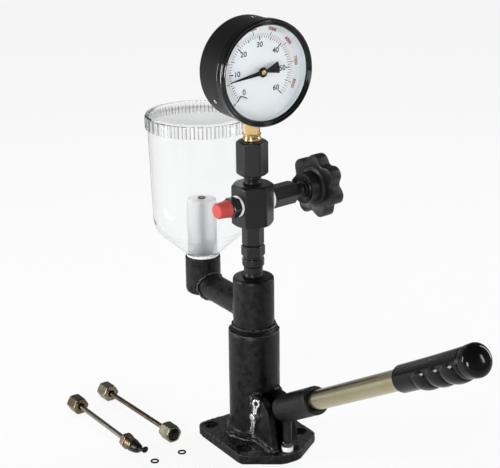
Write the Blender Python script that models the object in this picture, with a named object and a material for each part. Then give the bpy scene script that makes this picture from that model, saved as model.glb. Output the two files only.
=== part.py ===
"""Hand-pumped diesel injector tester.

A cast stand with a pump column, a lever with its grip, a clear fuel tank on a side arm, and a
stem that carries the valve block, the outlet and the pressure gauge. Two injector pipes and two
O-rings lie beside it.

Metres, +Z up. The origin is the centre of the base's underside, on the column's axis. The dial
faces -Y, where the lever points too, the tank stands at +Y and the hand wheel is at +X.
"""
import math

import bmesh
import bpy
from mathutils import Matrix, Vector

# Clearances that every piece shares
GAP = 0.0003
OVERRUN = 0.002
SHARP = math.radians(35)

# Facets round a piece, by its size
LARGE = 32
MEDIUM = 20
SMALL = 12
TINY = 8
HEXAGON_STEPS = 18
PLAIN_HEXAGON_STEPS = 12

# Heights on the pump axis, from the base's underside up
BASE_TOP = 0.010
SHOULDER_HEIGHT = 0.1264
ARM_HEIGHT = 0.1456
VALVE_HEIGHT = 0.2628

# The column and its barrel end above the arm
COLUMN_ABOVE_ARM = 0.0379
BARREL_ABOVE_ARM = 0.0254
COLUMN_TOP = ARM_HEIGHT + COLUMN_ABOVE_ARM
BARREL_TOP = ARM_HEIGHT + BARREL_ABOVE_ARM

# Holder, riser nut and block share the stem between the column and the valve's axis
STEM_LENGTH = VALVE_HEIGHT - COLUMN_TOP
HOLDER_SHARE = 0.435
BLOCK_SHARE = 0.2875
HOLDER_TOP = COLUMN_TOP + HOLDER_SHARE * STEM_LENGTH
BLOCK_BOTTOM = VALVE_HEIGHT - BLOCK_SHARE * STEM_LENGTH

# Block, neck, nut and gauge stand on each other above the valve's axis
BLOCK_RISE = 0.0202
NECK_LENGTH = 0.0095
NUT_LENGTH = 0.0348
SOCKET_RISE = 0.0196
GAUGE_RADIUS = 0.053
BLOCK_TOP = VALVE_HEIGHT + BLOCK_RISE
NECK_TOP = BLOCK_TOP + NECK_LENGTH
NUT_TOP = NECK_TOP + NUT_LENGTH
DIAL_HEIGHT = NUT_TOP + SOCKET_RISE + GAUGE_RADIUS

# Radii of the column
COLUMN_RADIUS = 0.0267
UPPER_RADIUS = 0.0214
BARREL_RADIUS = 0.0092
PLUNGER_RADIUS = 0.004

# The lever turns on the clevis pin
PIVOT = Vector((0.0, -0.030, 0.041))
LEVER_RISE = math.radians(29.1)
PIN_RADIUS = 0.0042
LUG_INSIDE = 0.0085
LUG_OUTSIDE = 0.0165

# The tank's axis and the arm that leads to it
TANK_PLACE = Vector((0.0, 0.1011, 0.0))
ARM_RADIUS = 0.0144
INLET_RADIUS = 0.0045
PASSAGE_RADIUS = 0.0015

# Valve block
VALVE_TURN = math.radians(7.5)
BLOCK_FLATS = 0.0382


def material(name, colour, roughness, metallic=0.0):
    """Make a plain surface finish."""
    finish = bpy.data.materials.new(name)
    finish.use_nodes = True
    shader = finish.node_tree.nodes["Principled BSDF"]
    shader.inputs["Base Color"].default_value = (*colour, 1.0)
    shader.inputs["Roughness"].default_value = roughness
    shader.inputs["Metallic"].default_value = metallic
    return finish


def frame(origin, along, across):
    """Give the placement whose Z runs along one direction and whose X lies near another."""
    z_axis = Vector(along).normalized()
    y_axis = z_axis.cross(Vector(across)).normalized()
    x_axis = y_axis.cross(z_axis)
    turn = Matrix((x_axis, y_axis, z_axis)).transposed().to_4x4()
    return Matrix.Translation(origin) @ turn


UPRIGHT = Matrix.Identity(4)


def add_object(name, shape, finish=None, place=UPRIGHT):
    """Turn a bmesh into a scene object, placed by its location and rotation."""
    mesh = bpy.data.meshes.new(name)
    shape.to_mesh(mesh)
    shape.free()
    thing = bpy.data.objects.new(name, mesh)
    bpy.context.collection.objects.link(thing)
    thing.matrix_world = place
    if finish is not None:
        mesh.materials.append(finish)
    return thing


def combine(target, tool, operation):
    """Apply a Boolean with another object, which is used up."""
    bpy.context.view_layer.update()
    modifier = target.modifiers.new(operation.lower(), "BOOLEAN")
    modifier.operation = operation
    modifier.object = tool
    modifier.solver = "EXACT"
    depsgraph = bpy.context.evaluated_depsgraph_get()
    mesh = bpy.data.meshes.new_from_object(target.evaluated_get(depsgraph))
    target.modifiers.clear()
    target.data = mesh
    bpy.data.objects.remove(tool)


def cut(target, shape, place=UPRIGHT):
    """Take a shape away from an object."""
    combine(target, add_object("cutter", shape, place=place), "DIFFERENCE")


def fuse(target, shape, place=UPRIGHT):
    """Join a shape to an object as one body."""
    combine(target, add_object("addition", shape, place=place), "UNION")


def finish_shading(thing):
    """Shade round faces smooth and keep true edges sharp."""
    thing.data.shade_smooth()
    thing.data.set_sharp_from_angle(angle=SHARP)


def skin(rings, closed=False):
    """Join rings of points in order into a solid; a ring of one point is a pole."""
    shape = bmesh.new()
    rows = [[shape.verts.new(point) for point in ring] for ring in rings]
    pairs = list(zip(rows, rows[1:]))
    if closed:
        pairs.append((rows[-1], rows[0]))
    else:
        for row in (rows[0], rows[-1]):
            if len(row) > 1:
                shape.faces.new(row)
    for low, high in pairs:
        count = max(len(low), len(high))
        for i in range(count):
            j = (i + 1) % count
            if len(low) == 1:
                shape.faces.new((low[0], high[j], high[i]))
            elif len(high) == 1:
                shape.faces.new((low[i], low[j], high[0]))
            else:
                shape.faces.new((low[i], low[j], high[j], high[i]))
    bmesh.ops.recalc_face_normals(shape, faces=shape.faces)
    return shape


def circle(radius, height, count, turn=0.0):
    """Give a ring of points round Z, or one point where the radius is zero."""
    if radius == 0:
        return [Vector((0.0, 0.0, height))]
    steps = [math.tau * i / count + turn for i in range(count)]
    return [Vector((radius * math.cos(a), radius * math.sin(a), height)) for a in steps]


def circles(profile, count, turn=0.0):
    """Give one ring for each radius and height of a turned profile."""
    return [circle(radius, height, count, turn) for radius, height in profile]


def turned(profile, count, closed=False):
    """Turn a profile of radius and height round Z."""
    return skin(circles(profile, count), closed)


def cylinder(radius, low, high, count):
    """Make a plain cylinder along Z."""
    return turned([(radius, low), (radius, high)], count)


def arc(centre_radius, centre_height, radius, start, end, steps):
    """Give profile points on an arc, with angles in degrees from the outward direction."""
    angles = [math.radians(start + (end - start) * i / steps) for i in range(steps + 1)]
    return [(centre_radius + radius * math.cos(a), centre_height + radius * math.sin(a))
            for a in angles]


def hexagon_rings(flats, low, high, turn=0.0, steps=HEXAGON_STEPS):
    """Give the rings of a hexagon bar with turned chamfers; turn is the angle of one flat."""
    start_share = 0.96
    slope_share = 0.55
    chamfer_start = flats / 2 * start_share
    angles = [math.tau * i / steps + turn + math.pi / 6 for i in range(steps)]

    def reach(angle):
        within = (angle - turn + math.pi / 6) % (math.pi / 3) - math.pi / 6
        return flats / 2 / math.cos(within)

    def edge(height, direction):
        points = []
        for angle in angles:
            radius = reach(angle)
            drop = direction * (radius - chamfer_start) * slope_share
            points.append(Vector((radius * math.cos(angle), radius * math.sin(angle),
                                  height + drop)))
        return points

    def chamfer(height):
        return [Vector((chamfer_start * math.cos(angle), chamfer_start * math.sin(angle), height))
                for angle in angles]

    return [chamfer(low), edge(low, 1), edge(high, -1), chamfer(high)]


def hexagon_tube(flats, low, high, bore, turn=0.0):
    """Make a hexagon bar with chamfered ends and a through bore."""
    steps = PLAIN_HEXAGON_STEPS
    inner = circles([(bore, high), (bore, low)], steps, turn + math.pi / 6)
    return skin(hexagon_rings(flats, low, high, turn, steps) + inner, closed=True)


def prism(outline, low, high):
    """Extrude a flat outline of X and Y points along Z."""
    return skin([[Vector((x, y, height)) for x, y in outline] for height in (low, high)])


def box(x_range, y_range, z_range):
    """Make a plain block between its limits."""
    outline = [(x_range[0], y_range[0]), (x_range[1], y_range[0]),
               (x_range[1], y_range[1]), (x_range[0], y_range[1])]
    return prism(outline, *z_range)


def rounded(corners, steps):
    """Round the corners of an outline; each corner is x, y and its radius."""
    outline = []
    for i, (x, y, radius) in enumerate(corners):
        here = Vector((x, y))
        before = (Vector(corners[i - 1][:2]) - here).normalized()
        after = (Vector(corners[(i + 1) % len(corners)][:2]) - here).normalized()
        if radius == 0:
            outline.append((x, y))
            continue
        half = before.angle(after) / 2
        centre = here + (before + after).normalized() * radius / math.sin(half)
        start = here + before * radius / math.tan(half) - centre
        end = here + after * radius / math.tan(half) - centre
        sweep = start.angle_signed(end)
        for k in range(steps + 1):
            spin = Matrix.Rotation(-sweep * k / steps, 2)
            outline.append(tuple(centre + spin @ start))
    return outline


# Placements that several pieces share
ACROSS = Vector((1.0, 0.0, 0.0))
SIDE_PLACE = frame((0.0, 0.0, 0.0), ACROSS, (0.0, 1.0, 0.0))
LEVER_ALONG = Vector((0.0, -math.cos(LEVER_RISE), math.sin(LEVER_RISE)))
LEVER_PLACE = frame(PIVOT, LEVER_ALONG, ACROSS)
PIN_PLACE = frame(PIVOT, ACROSS, (0.0, 1.0, 0.0))
INLET_PLACE = frame((0.0, 0.0, ARM_HEIGHT), (0.0, 1.0, 0.0), ACROSS)
GAUGE_PLACE = frame((0.0, 0.0, DIAL_HEIGHT), (0.0, -1.0, 0.0), ACROSS)
VALVE_ALONG = Vector((math.cos(VALVE_TURN), math.sin(VALVE_TURN), 0.0))
VALVE_PLACE = frame((0.0, 0.0, VALVE_HEIGHT), VALVE_ALONG, (0.0, 0.0, 1.0))
OUTLET_PLACE = frame((0.0, 0.0, VALVE_HEIGHT), -VALVE_ALONG, (0.0, 0.0, 1.0))
TANK_FRAME = Matrix.Translation(TANK_PLACE)

# Cast body: plate, column and lugs
PLATE_HALF_WIDTH = 0.047
PLATE_BACK = 0.045
PLATE_SHOULDER = 0.045
NOSE_REACH = 0.070
NOSE_HALF_WIDTH = 0.0105
BACK_CORNER = 0.011
FRONT_CORNER = 0.005
PLATE_EDGE = 0.0022
BOLT_X = 0.0348
BOLT_Y = 0.0330
BOLT_HOLE_RADIUS = 0.0047
SPOT_RADIUS = 0.0078
SPOT_DEPTH = 0.0010
FOOT_FLANGE = 0.0058
FOOT_RADIUS = COLUMN_RADIUS + FOOT_FLANGE
FOOT_HEIGHT = 0.0035
FOOT_FILLET = 0.004
CHAMBER_RADIUS = 0.0135
CHAMBER_FLOOR = 0.014
CHAMBER_TOP = 0.095
LUG_ARC = 0.0210
LUG_TOE = 0.0570
LUG_TOE_HEIGHT = 0.0180
SHOULDER_SLOPE = 0.0036
SLOT_LOW = 0.0165
SLOT_HIGH = 0.062


def build_pump_body(finish):
    """Cast base plate with the pump column and the two lever lugs in one piece."""
    plate = rounded([
        (-PLATE_HALF_WIDTH, -PLATE_SHOULDER, FRONT_CORNER),
        (-NOSE_HALF_WIDTH, -NOSE_REACH, FRONT_CORNER),
        (NOSE_HALF_WIDTH, -NOSE_REACH, FRONT_CORNER),
        (PLATE_HALF_WIDTH, -PLATE_SHOULDER, FRONT_CORNER),
        (PLATE_HALF_WIDTH, PLATE_BACK, BACK_CORNER),
        (-PLATE_HALF_WIDTH, PLATE_BACK, BACK_CORNER),
    ], 4)
    body = add_object("pump_body", prism(plate, 0.0, BASE_TOP), finish)
    edge = body.modifiers.new("edge", "BEVEL")
    edge.width = PLATE_EDGE
    edge.segments = 1
    edge.limit_method = "ANGLE"
    edge.angle_limit = math.radians(60)

    foot_top = BASE_TOP + FOOT_HEIGHT
    step = COLUMN_RADIUS - UPPER_RADIUS
    rim = 0.0016
    column = [(0.0, BASE_TOP / 2), (FOOT_RADIUS, BASE_TOP / 2), (FOOT_RADIUS, BASE_TOP),
              (FOOT_RADIUS - FOOT_HEIGHT / 2, foot_top)]
    column += arc(COLUMN_RADIUS + FOOT_FILLET, foot_top + FOOT_FILLET, FOOT_FILLET, 270, 180, 3)
    column += [(COLUMN_RADIUS, SHOULDER_HEIGHT - SHOULDER_SLOPE),
               (COLUMN_RADIUS - step / 4, SHOULDER_HEIGHT - SHOULDER_SLOPE / 3),
               (COLUMN_RADIUS - 2 * step / 3, SHOULDER_HEIGHT + SHOULDER_SLOPE / 3),
               (UPPER_RADIUS, SHOULDER_HEIGHT + SHOULDER_SLOPE),
               (UPPER_RADIUS, COLUMN_TOP - rim), (UPPER_RADIUS - rim, COLUMN_TOP),
               (0.0, COLUMN_TOP)]
    fuse(body, turned(column, LARGE))

    lug = [(-UPPER_RADIUS / 2, BASE_TOP / 2), (-LUG_TOE, BASE_TOP / 2),
           (-LUG_TOE, LUG_TOE_HEIGHT)]
    lug += arc(PIVOT.y, PIVOT.z, LUG_ARC, 170, 100, 6)
    lug += [(-UPPER_RADIUS, PIVOT.z + LUG_ARC), (-UPPER_RADIUS / 2, PIVOT.z + LUG_ARC)]
    for low, high in ((-LUG_OUTSIDE, -LUG_INSIDE), (LUG_INSIDE, LUG_OUTSIDE)):
        fuse(body, prism(lug, low, high), SIDE_PLACE)

    cut(body, cylinder(CHAMBER_RADIUS, CHAMBER_FLOOR, CHAMBER_TOP, MEDIUM))
    cut(body, cylinder(BARREL_RADIUS + GAP, CHAMBER_TOP - OVERRUN, COLUMN_TOP + OVERRUN, MEDIUM))
    cut(body, box((-LUG_INSIDE, LUG_INSIDE), (-COLUMN_RADIUS - OVERRUN, 0.0),
                  (SLOT_LOW, SLOT_HIGH)))
    pin_bore = cylinder(PIN_RADIUS + GAP, -LUG_OUTSIDE - OVERRUN, LUG_OUTSIDE + OVERRUN, SMALL)
    cut(body, pin_bore, PIN_PLACE)
    for x in (-BOLT_X, BOLT_X):
        for y in (-BOLT_Y, BOLT_Y):
            place = Matrix.Translation((x, y, 0.0))
            cut(body, cylinder(BOLT_HOLE_RADIUS, -OVERRUN, BASE_TOP + OVERRUN, SMALL), place)
            spot = cylinder(SPOT_RADIUS, BASE_TOP - SPOT_DEPTH, foot_top + OVERRUN, MEDIUM)
            cut(body, spot, place)
    cut(body, cylinder(INLET_RADIUS, BARREL_RADIUS / 2, COLUMN_RADIUS + OVERRUN, SMALL),
        INLET_PLACE)
    finish_shading(body)


# Buffer on the nose, under the lever's stop post
BUFFER_PLACE = -0.0615
BUFFER_RADIUS = 0.006
BUFFER_HEIGHT = 0.0052
BUFFER_TOP = BASE_TOP + BUFFER_HEIGHT
POST_RADIUS = 0.0047
STOP_NUT_RADIUS = 0.0062
STOP_NUT_HEIGHT = 0.0052


def build_buffer(finish):
    """White disc that takes the knock of the lever."""
    edge = 0.0006
    profile = [(0.0, BASE_TOP + GAP), (BUFFER_RADIUS, BASE_TOP + GAP),
               (BUFFER_RADIUS, BUFFER_TOP - edge), (BUFFER_RADIUS - edge, BUFFER_TOP),
               (0.0, BUFFER_TOP)]
    place = Matrix.Translation((0.0, BUFFER_PLACE, 0.0))
    finish_shading(add_object("stop_buffer", turned(profile, MEDIUM), finish, place))


# Lever
SLEEVE_RADIUS = 0.0146
SLEEVE_START = 0.0293
SLEEVE_END = 0.0944
TUBE_RADIUS = 0.0101
TUBE_WALL = 0.0015
TUBE_START = 0.042
TUBE_END = 0.350
GRIP_START = 0.247
GRIP_END = 0.3643
GRIP_RADIUS = 0.0131
GRIP_END_RADIUS = 0.0150
WEB_HALF_WIDTH = 0.0073
WEB_HALF_HEIGHT = 0.0085
BOSS_RADIUS = 0.0105
TONGUE_TIP_RADIUS = 0.006
TONGUE_REACH = 0.0285
TONGUE_BAR_RISE = 0.0038
TONGUE_HALF_WIDTH = 0.006


def build_lever(finishes):
    """Socket with its tongue and stop post, tube and grip, all turning on the clevis pin."""
    edge = 0.0012
    bore = TUBE_RADIUS + GAP
    sleeve = [(0.0, SLEEVE_START), (SLEEVE_RADIUS - edge, SLEEVE_START),
              (SLEEVE_RADIUS, SLEEVE_START + edge), (SLEEVE_RADIUS, SLEEVE_END - edge),
              (SLEEVE_RADIUS - edge, SLEEVE_END), (bore, SLEEVE_END),
              (bore, TUBE_START - GAP), (0.0, TUBE_START - GAP)]
    socket = add_object("lever_socket", turned(sleeve, MEDIUM), finishes["cast black"],
                        LEVER_PLACE)
    web = box((-WEB_HALF_WIDTH, WEB_HALF_WIDTH), (-WEB_HALF_HEIGHT, WEB_HALF_HEIGHT),
              (0.0, SLEEVE_START + OVERRUN))
    fuse(socket, web, LEVER_PLACE)
    fuse(socket, cylinder(BOSS_RADIUS, -WEB_HALF_WIDTH, WEB_HALF_WIDTH, MEDIUM), PIN_PLACE)
    tongue = [(-BOSS_RADIUS / 2, -TONGUE_TIP_RADIUS), (-BOSS_RADIUS / 2, TONGUE_BAR_RISE)]
    tongue += arc(TONGUE_REACH, 0.0, TONGUE_TIP_RADIUS, 140, -90, 8)
    fuse(socket, prism(tongue, -TONGUE_HALF_WIDTH, TONGUE_HALF_WIDTH), PIN_PLACE)
    post_place = Matrix.Translation((0.0, BUFFER_PLACE, 0.0))
    post_top = PIVOT.z + TONGUE_TIP_RADIUS
    post_edge = 0.0012
    nut_low = BUFFER_TOP + GAP
    nut_high = nut_low + STOP_NUT_HEIGHT
    post = [(0.0, nut_low), (STOP_NUT_RADIUS - post_edge, nut_low),
            (STOP_NUT_RADIUS, nut_low + post_edge), (STOP_NUT_RADIUS, nut_high - post_edge),
            (STOP_NUT_RADIUS - post_edge, nut_high), (POST_RADIUS, nut_high),
            (POST_RADIUS, post_top), (0.0, post_top)]
    fuse(socket, turned(post, SMALL), post_place)
    cut(socket, cylinder(PIN_RADIUS + GAP, -LUG_INSIDE, LUG_INSIDE, SMALL), PIN_PLACE)
    finish_shading(socket)

    inner = TUBE_RADIUS - TUBE_WALL
    tube = [(TUBE_RADIUS, TUBE_START), (TUBE_RADIUS, TUBE_END), (inner, TUBE_END),
            (inner, TUBE_START)]
    lever_tube = add_object("lever_tube", turned(tube, MEDIUM, closed=True),
                            finishes["zinc"], LEVER_PLACE)
    finish_shading(lever_tube)
    build_grip(finishes["black plastic"])


GRIP_WAVE_START = 0.0095
GRIP_WAVE_PITCH = 0.025
GRIP_WAVE_DEPTH = 0.0026
GRIP_FINGERS = 4


def build_grip(finish):
    """Black grip with four finger waves underneath and a thicker rounded end."""
    count = SMALL
    length = GRIP_END - GRIP_START
    last_wave = GRIP_WAVE_START + GRIP_FINGERS * GRIP_WAVE_PITCH
    fade = 0.012
    end_round = 0.0080

    def section(along):
        taper = GRIP_RADIUS + (GRIP_END_RADIUS - GRIP_RADIUS) * (along / length) ** 2
        wave = math.sin(math.pi * (along - GRIP_WAVE_START + GRIP_WAVE_PITCH / 2)
                        / GRIP_WAVE_PITCH) ** 2
        begin = min(1.0, along / GRIP_WAVE_START)
        finish_share = min(1.0, max(0.0, (last_wave - along) / fade))
        points = []
        for i in range(count):
            angle = math.tau * i / count
            under = max(0.0, -math.sin(angle)) ** 1.5
            radius = taper + GRIP_WAVE_DEPTH * wave * under * begin * finish_share
            points.append(Vector((radius * math.cos(angle), radius * math.sin(angle),
                                  GRIP_START + along)))
        return points

    steps = 20
    last = length - end_round
    rings = [section(last * i / steps) for i in range(steps + 1)]
    for radius, height in arc(GRIP_END_RADIUS - end_round, GRIP_END - end_round, end_round,
                              15, 90, 3):
        rings.append(circle(radius, height, count))
    rings.append(circle(0.0, GRIP_END + GAP, count))
    grip = add_object("lever_grip", skin(rings), finish, LEVER_PLACE)
    bore = TUBE_RADIUS + GAP
    cut(grip, cylinder(bore, GRIP_START - OVERRUN, TUBE_END + GAP, MEDIUM), LEVER_PLACE)
    finish_shading(grip)


# Clevis pin and split pin
PIN_START = -0.0235
PIN_END = 0.0175
PIN_HEAD_RADIUS = 0.0065
PIN_HEAD_LENGTH = 0.003
SPLIT_PLACE = -0.0200
SPLIT_WIRE = 0.0010
SPLIT_LEAN = math.radians(12.5)
SPLIT_EYE_HEIGHT = 0.0165
SPLIT_EYE_RADIUS = 0.0031
SPLIT_EYE_STRETCH_SHARE = 1.35
SPLIT_LEG_LONG = 0.0265
SPLIT_LEG_SHORT = 0.0200


def tube_along(points, radius, sides):
    """Sweep a round section along an open path of points."""
    rings = []
    side = None
    for i, point in enumerate(points):
        ahead = points[min(i + 1, len(points) - 1)] - points[max(i - 1, 0)]
        ahead.normalize()
        side = ahead.orthogonal() if side is None else side - ahead * side.dot(ahead)
        side.normalize()
        other = ahead.cross(side)
        ring = []
        for k in range(sides):
            angle = math.tau * k / sides
            ring.append(point + (side * math.cos(angle) + other * math.sin(angle)) * radius)
        rings.append(ring)
    return skin(rings)


def build_pins(finishes):
    """Clevis pin through the lugs, held by a split pin outside the lug at -X."""
    edge = 0.0007
    head_end = PIN_END + PIN_HEAD_LENGTH
    pin = [(0.0, PIN_START), (PIN_RADIUS - edge, PIN_START), (PIN_RADIUS, PIN_START + edge),
           (PIN_RADIUS, PIN_END), (PIN_HEAD_RADIUS, PIN_END), (PIN_HEAD_RADIUS, head_end - edge),
           (PIN_HEAD_RADIUS - edge, head_end), (0.0, head_end)]
    clevis = add_object("clevis_pin", turned(pin, SMALL), finishes["bright steel"], PIN_PLACE)
    centre = PIVOT + Vector((SPLIT_PLACE, 0.0, 0.0))
    upward = Vector((0.0, -math.sin(SPLIT_LEAN), math.cos(SPLIT_LEAN)))
    split_place = frame(centre, upward, (0.0, 1.0, 0.0))
    hole = 2 * SPLIT_WIRE + 2 * GAP
    cut(clevis, cylinder(hole, -PIN_RADIUS - OVERRUN, PIN_RADIUS + OVERRUN, TINY), split_place)
    finish_shading(clevis)

    leg = SPLIT_WIRE + GAP / 2
    shoulder = SPLIT_EYE_HEIGHT - 2 * SPLIT_EYE_RADIUS
    eye_height = SPLIT_EYE_STRETCH_SHARE * SPLIT_EYE_RADIUS
    points = [Vector((-leg, 0.0, -SPLIT_LEG_LONG)), Vector((-leg, 0.0, 0.0)),
              Vector((-leg, 0.0, shoulder))]
    for across, up in arc(0.0, 0.0, 1.0, 235, -55, 10):
        points.append(Vector((SPLIT_EYE_RADIUS * across, 0.0, SPLIT_EYE_HEIGHT + eye_height * up)))
    points += [Vector((leg, 0.0, shoulder)), Vector((leg, 0.0, 0.0)),
               Vector((leg, 0.0, -SPLIT_LEG_SHORT))]
    split = add_object("split_pin", tube_along(points, SPLIT_WIRE, 8),
                       finishes["bright steel"], split_place)
    finish_shading(split)


# Pump parts inside the column
PLUNGER_ABOVE_ARM = 0.0044
PLUNGER_TOP = ARM_HEIGHT + PLUNGER_ABOVE_ARM
PLUNGER_FOOT_RADIUS = 0.0105
PLUNGER_FOOT_THICKNESS = 0.0030
PLUNGER_TAPPET_LENGTH = 0.0030
SEAT_THICKNESS = 0.0025
SPRING_RADIUS = 0.0100
SPRING_WALL = 0.0022
PORT_RADIUS = 0.0015


def build_pump_inside(finishes):
    """Barrel, plunger, return spring and spring seat on the pump axis."""
    bore = PLUNGER_RADIUS + GAP
    barrel_low = CHAMBER_TOP + GAP
    barrel = [(BARREL_RADIUS, barrel_low), (BARREL_RADIUS, BARREL_TOP), (bore, BARREL_TOP),
              (bore, barrel_low)]
    pump_barrel = add_object("pump_barrel", turned(barrel, MEDIUM, closed=True),
                             finishes["bright steel"])
    cut(pump_barrel, cylinder(PORT_RADIUS, PLUNGER_RADIUS / 2, BARREL_RADIUS + OVERRUN, TINY),
        INLET_PLACE)
    finish_shading(pump_barrel)

    tappet_low = PIVOT.z + TONGUE_TIP_RADIUS + GAP
    foot_low = tappet_low + PLUNGER_TAPPET_LENGTH
    foot_high = foot_low + PLUNGER_FOOT_THICKNESS
    plunger = [(0.0, tappet_low), (PLUNGER_RADIUS, tappet_low), (PLUNGER_RADIUS, foot_low),
               (PLUNGER_FOOT_RADIUS, foot_low),
               (PLUNGER_FOOT_RADIUS, foot_high), (PLUNGER_RADIUS, foot_high),
               (PLUNGER_RADIUS, PLUNGER_TOP), (0.0, PLUNGER_TOP)]
    finish_shading(add_object("plunger", turned(plunger, MEDIUM), finishes["bright steel"]))

    seat_high = CHAMBER_TOP - GAP
    seat_low = seat_high - SEAT_THICKNESS
    seat = [(CHAMBER_RADIUS - GAP, seat_low), (CHAMBER_RADIUS - GAP, seat_high),
            (bore, seat_high), (bore, seat_low)]
    finish_shading(add_object("spring_seat", turned(seat, MEDIUM, closed=True),
                              finishes["bright steel"]))
    spring_inside = SPRING_RADIUS - SPRING_WALL
    spring = [(SPRING_RADIUS, foot_high + GAP), (SPRING_RADIUS, seat_low - GAP),
              (spring_inside, seat_low - GAP), (spring_inside, foot_high + GAP)]
    finish_shading(add_object("plunger_spring", turned(spring, SMALL, closed=True),
                              finishes["spring steel"]))


# Stem on the column: holder, riser nut, block, neck, gauge nut
HOLDER_COLLAR_RADIUS = 0.0104
HOLDER_NECK_RADIUS = 0.0098
HOLDER_RADIUS = 0.0114
HOLDER_RING_SHARE = 0.45
HOLDER_FLATS = 0.0215
HOLDER_HEX_SHARE = 0.348
HOLDER_COLLAR_SHARE = 0.117
HOLDER_GROOVE_SHARE = 0.054
VALVE_CHAMBER_RADIUS = 0.0046
VALVE_CHAMBER_SHARE = 0.617
VALVE_CHAMBER_TOP = BARREL_TOP + VALVE_CHAMBER_SHARE * (HOLDER_TOP - BARREL_TOP)
RISER_FLATS = 0.0199
NECK_RADIUS = 0.0092
NUT_FLATS = 0.0285
CAMERA_SIDE = math.radians(-122.7)
BLOCK_PORT_RADIUS = 0.0062
SPIGOT_RADIUS = 0.0050


def build_stem(finishes):
    """Delivery holder with its valve, the riser nut, the block, the neck and the gauge nut."""
    black = finishes["black steel"]
    holder_low = BARREL_TOP + GAP
    collar_low = COLUMN_TOP + GAP
    hex_low = HOLDER_TOP - HOLDER_HEX_SHARE * (HOLDER_TOP - COLUMN_TOP)
    collar_high = collar_low + HOLDER_COLLAR_SHARE * (hex_low - collar_low)
    groove = HOLDER_GROOVE_SHARE * (hex_low - collar_low)
    ring_low = hex_low - HOLDER_RING_SHARE * (hex_low - collar_low)
    holder = [(VALVE_CHAMBER_RADIUS, VALVE_CHAMBER_TOP), (VALVE_CHAMBER_RADIUS, holder_low),
              (BARREL_RADIUS, holder_low), (BARREL_RADIUS, collar_low),
              (HOLDER_COLLAR_RADIUS, collar_low), (HOLDER_COLLAR_RADIUS, collar_high),
              (HOLDER_NECK_RADIUS, collar_high + groove),
              (HOLDER_NECK_RADIUS, ring_low - groove),
              (HOLDER_RADIUS - groove / 4, ring_low),
              (HOLDER_RADIUS, ring_low + groove),
              (HOLDER_RADIUS, hex_low - 2 * groove),
              (HOLDER_RADIUS - groove, hex_low - groove)]
    corner = CAMERA_SIDE + math.pi / 6
    rings = circles(holder, HEXAGON_STEPS, corner)
    rings += hexagon_rings(HOLDER_FLATS, hex_low, HOLDER_TOP, CAMERA_SIDE)
    rings += circles([(PASSAGE_RADIUS, HOLDER_TOP), (PASSAGE_RADIUS, VALVE_CHAMBER_TOP)],
                     HEXAGON_STEPS, corner)
    finish_shading(add_object("delivery_holder", skin(rings, closed=True), black))

    valve_radius = VALVE_CHAMBER_RADIUS - 2 * GAP
    head = 0.003
    stem = valve_radius / 2
    valve_high = holder_low + 4 * head
    valve = [(0.0, holder_low), (stem, holder_low), (valve_radius, holder_low + head / 2),
             (valve_radius, holder_low + head), (stem, holder_low + head + GAP),
             (stem, valve_high), (0.0, valve_high)]
    finish_shading(add_object("delivery_valve", turned(valve, SMALL), finishes["bright steel"]))
    spring_low = holder_low + head + 2 * GAP
    spring = [(valve_radius, spring_low), (valve_radius, VALVE_CHAMBER_TOP - GAP),
              (stem + GAP, VALVE_CHAMBER_TOP - GAP), (stem + GAP, spring_low)]
    finish_shading(add_object("delivery_spring", turned(spring, SMALL, closed=True),
                              finishes["spring steel"]))

    riser = hexagon_tube(RISER_FLATS, HOLDER_TOP + GAP, BLOCK_BOTTOM - GAP, PASSAGE_RADIUS,
                         CAMERA_SIDE)
    finish_shading(add_object("riser_nut", riser, black))

    block = add_object("valve_block", hexagon_tube(BLOCK_FLATS, BLOCK_BOTTOM, BLOCK_TOP,
                                                   PASSAGE_RADIUS, VALVE_TURN), black)
    port_floor = 0.0080
    for place in (VALVE_PLACE, OUTLET_PLACE):
        cut(block, cylinder(BLOCK_PORT_RADIUS + GAP, port_floor, BLOCK_FLATS, SMALL), place)
        cut(block, cylinder(PASSAGE_RADIUS, 0.0, port_floor + OVERRUN, TINY), place)
    finish_shading(block)

    waist = 0.0012
    neck_low = BLOCK_TOP + GAP
    neck_mid = (BLOCK_TOP + NECK_TOP) / 2
    neck = [(NECK_RADIUS + waist / 2, neck_low), (NECK_RADIUS, neck_mid - waist),
            (NECK_RADIUS - waist, neck_mid), (NECK_RADIUS, neck_mid + waist),
            (NECK_RADIUS, NECK_TOP - GAP), (PASSAGE_RADIUS, NECK_TOP - GAP),
            (PASSAGE_RADIUS, neck_low)]
    finish_shading(add_object("gauge_neck", turned(neck, MEDIUM, closed=True), black))
    nut = hexagon_tube(NUT_FLATS, NECK_TOP, NUT_TOP, SPIGOT_RADIUS + GAP, CAMERA_SIDE)
    finish_shading(add_object("gauge_nut", nut, black))


# Arm, cup and tank
ARM_WELD = 0.0014
WELD_LENGTH = 0.0035
SHOULDER_CLEAR = SHOULDER_SLOPE + GAP
CUP_RADIUS = 0.0190
CUP_DROP = 0.0112
CUP_RISE = 0.0311
CUP_BOTTOM = ARM_HEIGHT - CUP_DROP
CUP_TOP = ARM_HEIGHT + CUP_RISE
CUP_CORNER = 0.006
CUP_BORE_RADIUS = 0.0098
GASKET_THICKNESS = 0.0016
TANK_WALL = 0.002
TANK_NECK_RADIUS = 0.0175
CONE_TOP_RADIUS = 0.0455
TANK_LOW_RADIUS = 0.0524
TANK_TOP_RADIUS = 0.05525
TANK_OUTLET_RADIUS = 0.004
SPIGOT_LENGTH = 0.0117
CONE_RISE = 0.0278
TANK_LOW_RISE = 0.0175
TANK_SIDE = 0.1105
SPIGOT_BOTTOM = CUP_TOP - SPIGOT_LENGTH
CONE_TOP = CUP_TOP + CONE_RISE
TANK_LOW = CONE_TOP + TANK_LOW_RISE
TANK_TOP = TANK_LOW + TANK_SIDE
LID_OVERHANG = 0.00275
LID_RADIUS = TANK_TOP_RADIUS + LID_OVERHANG
LID_RISE = 0.0029
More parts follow.
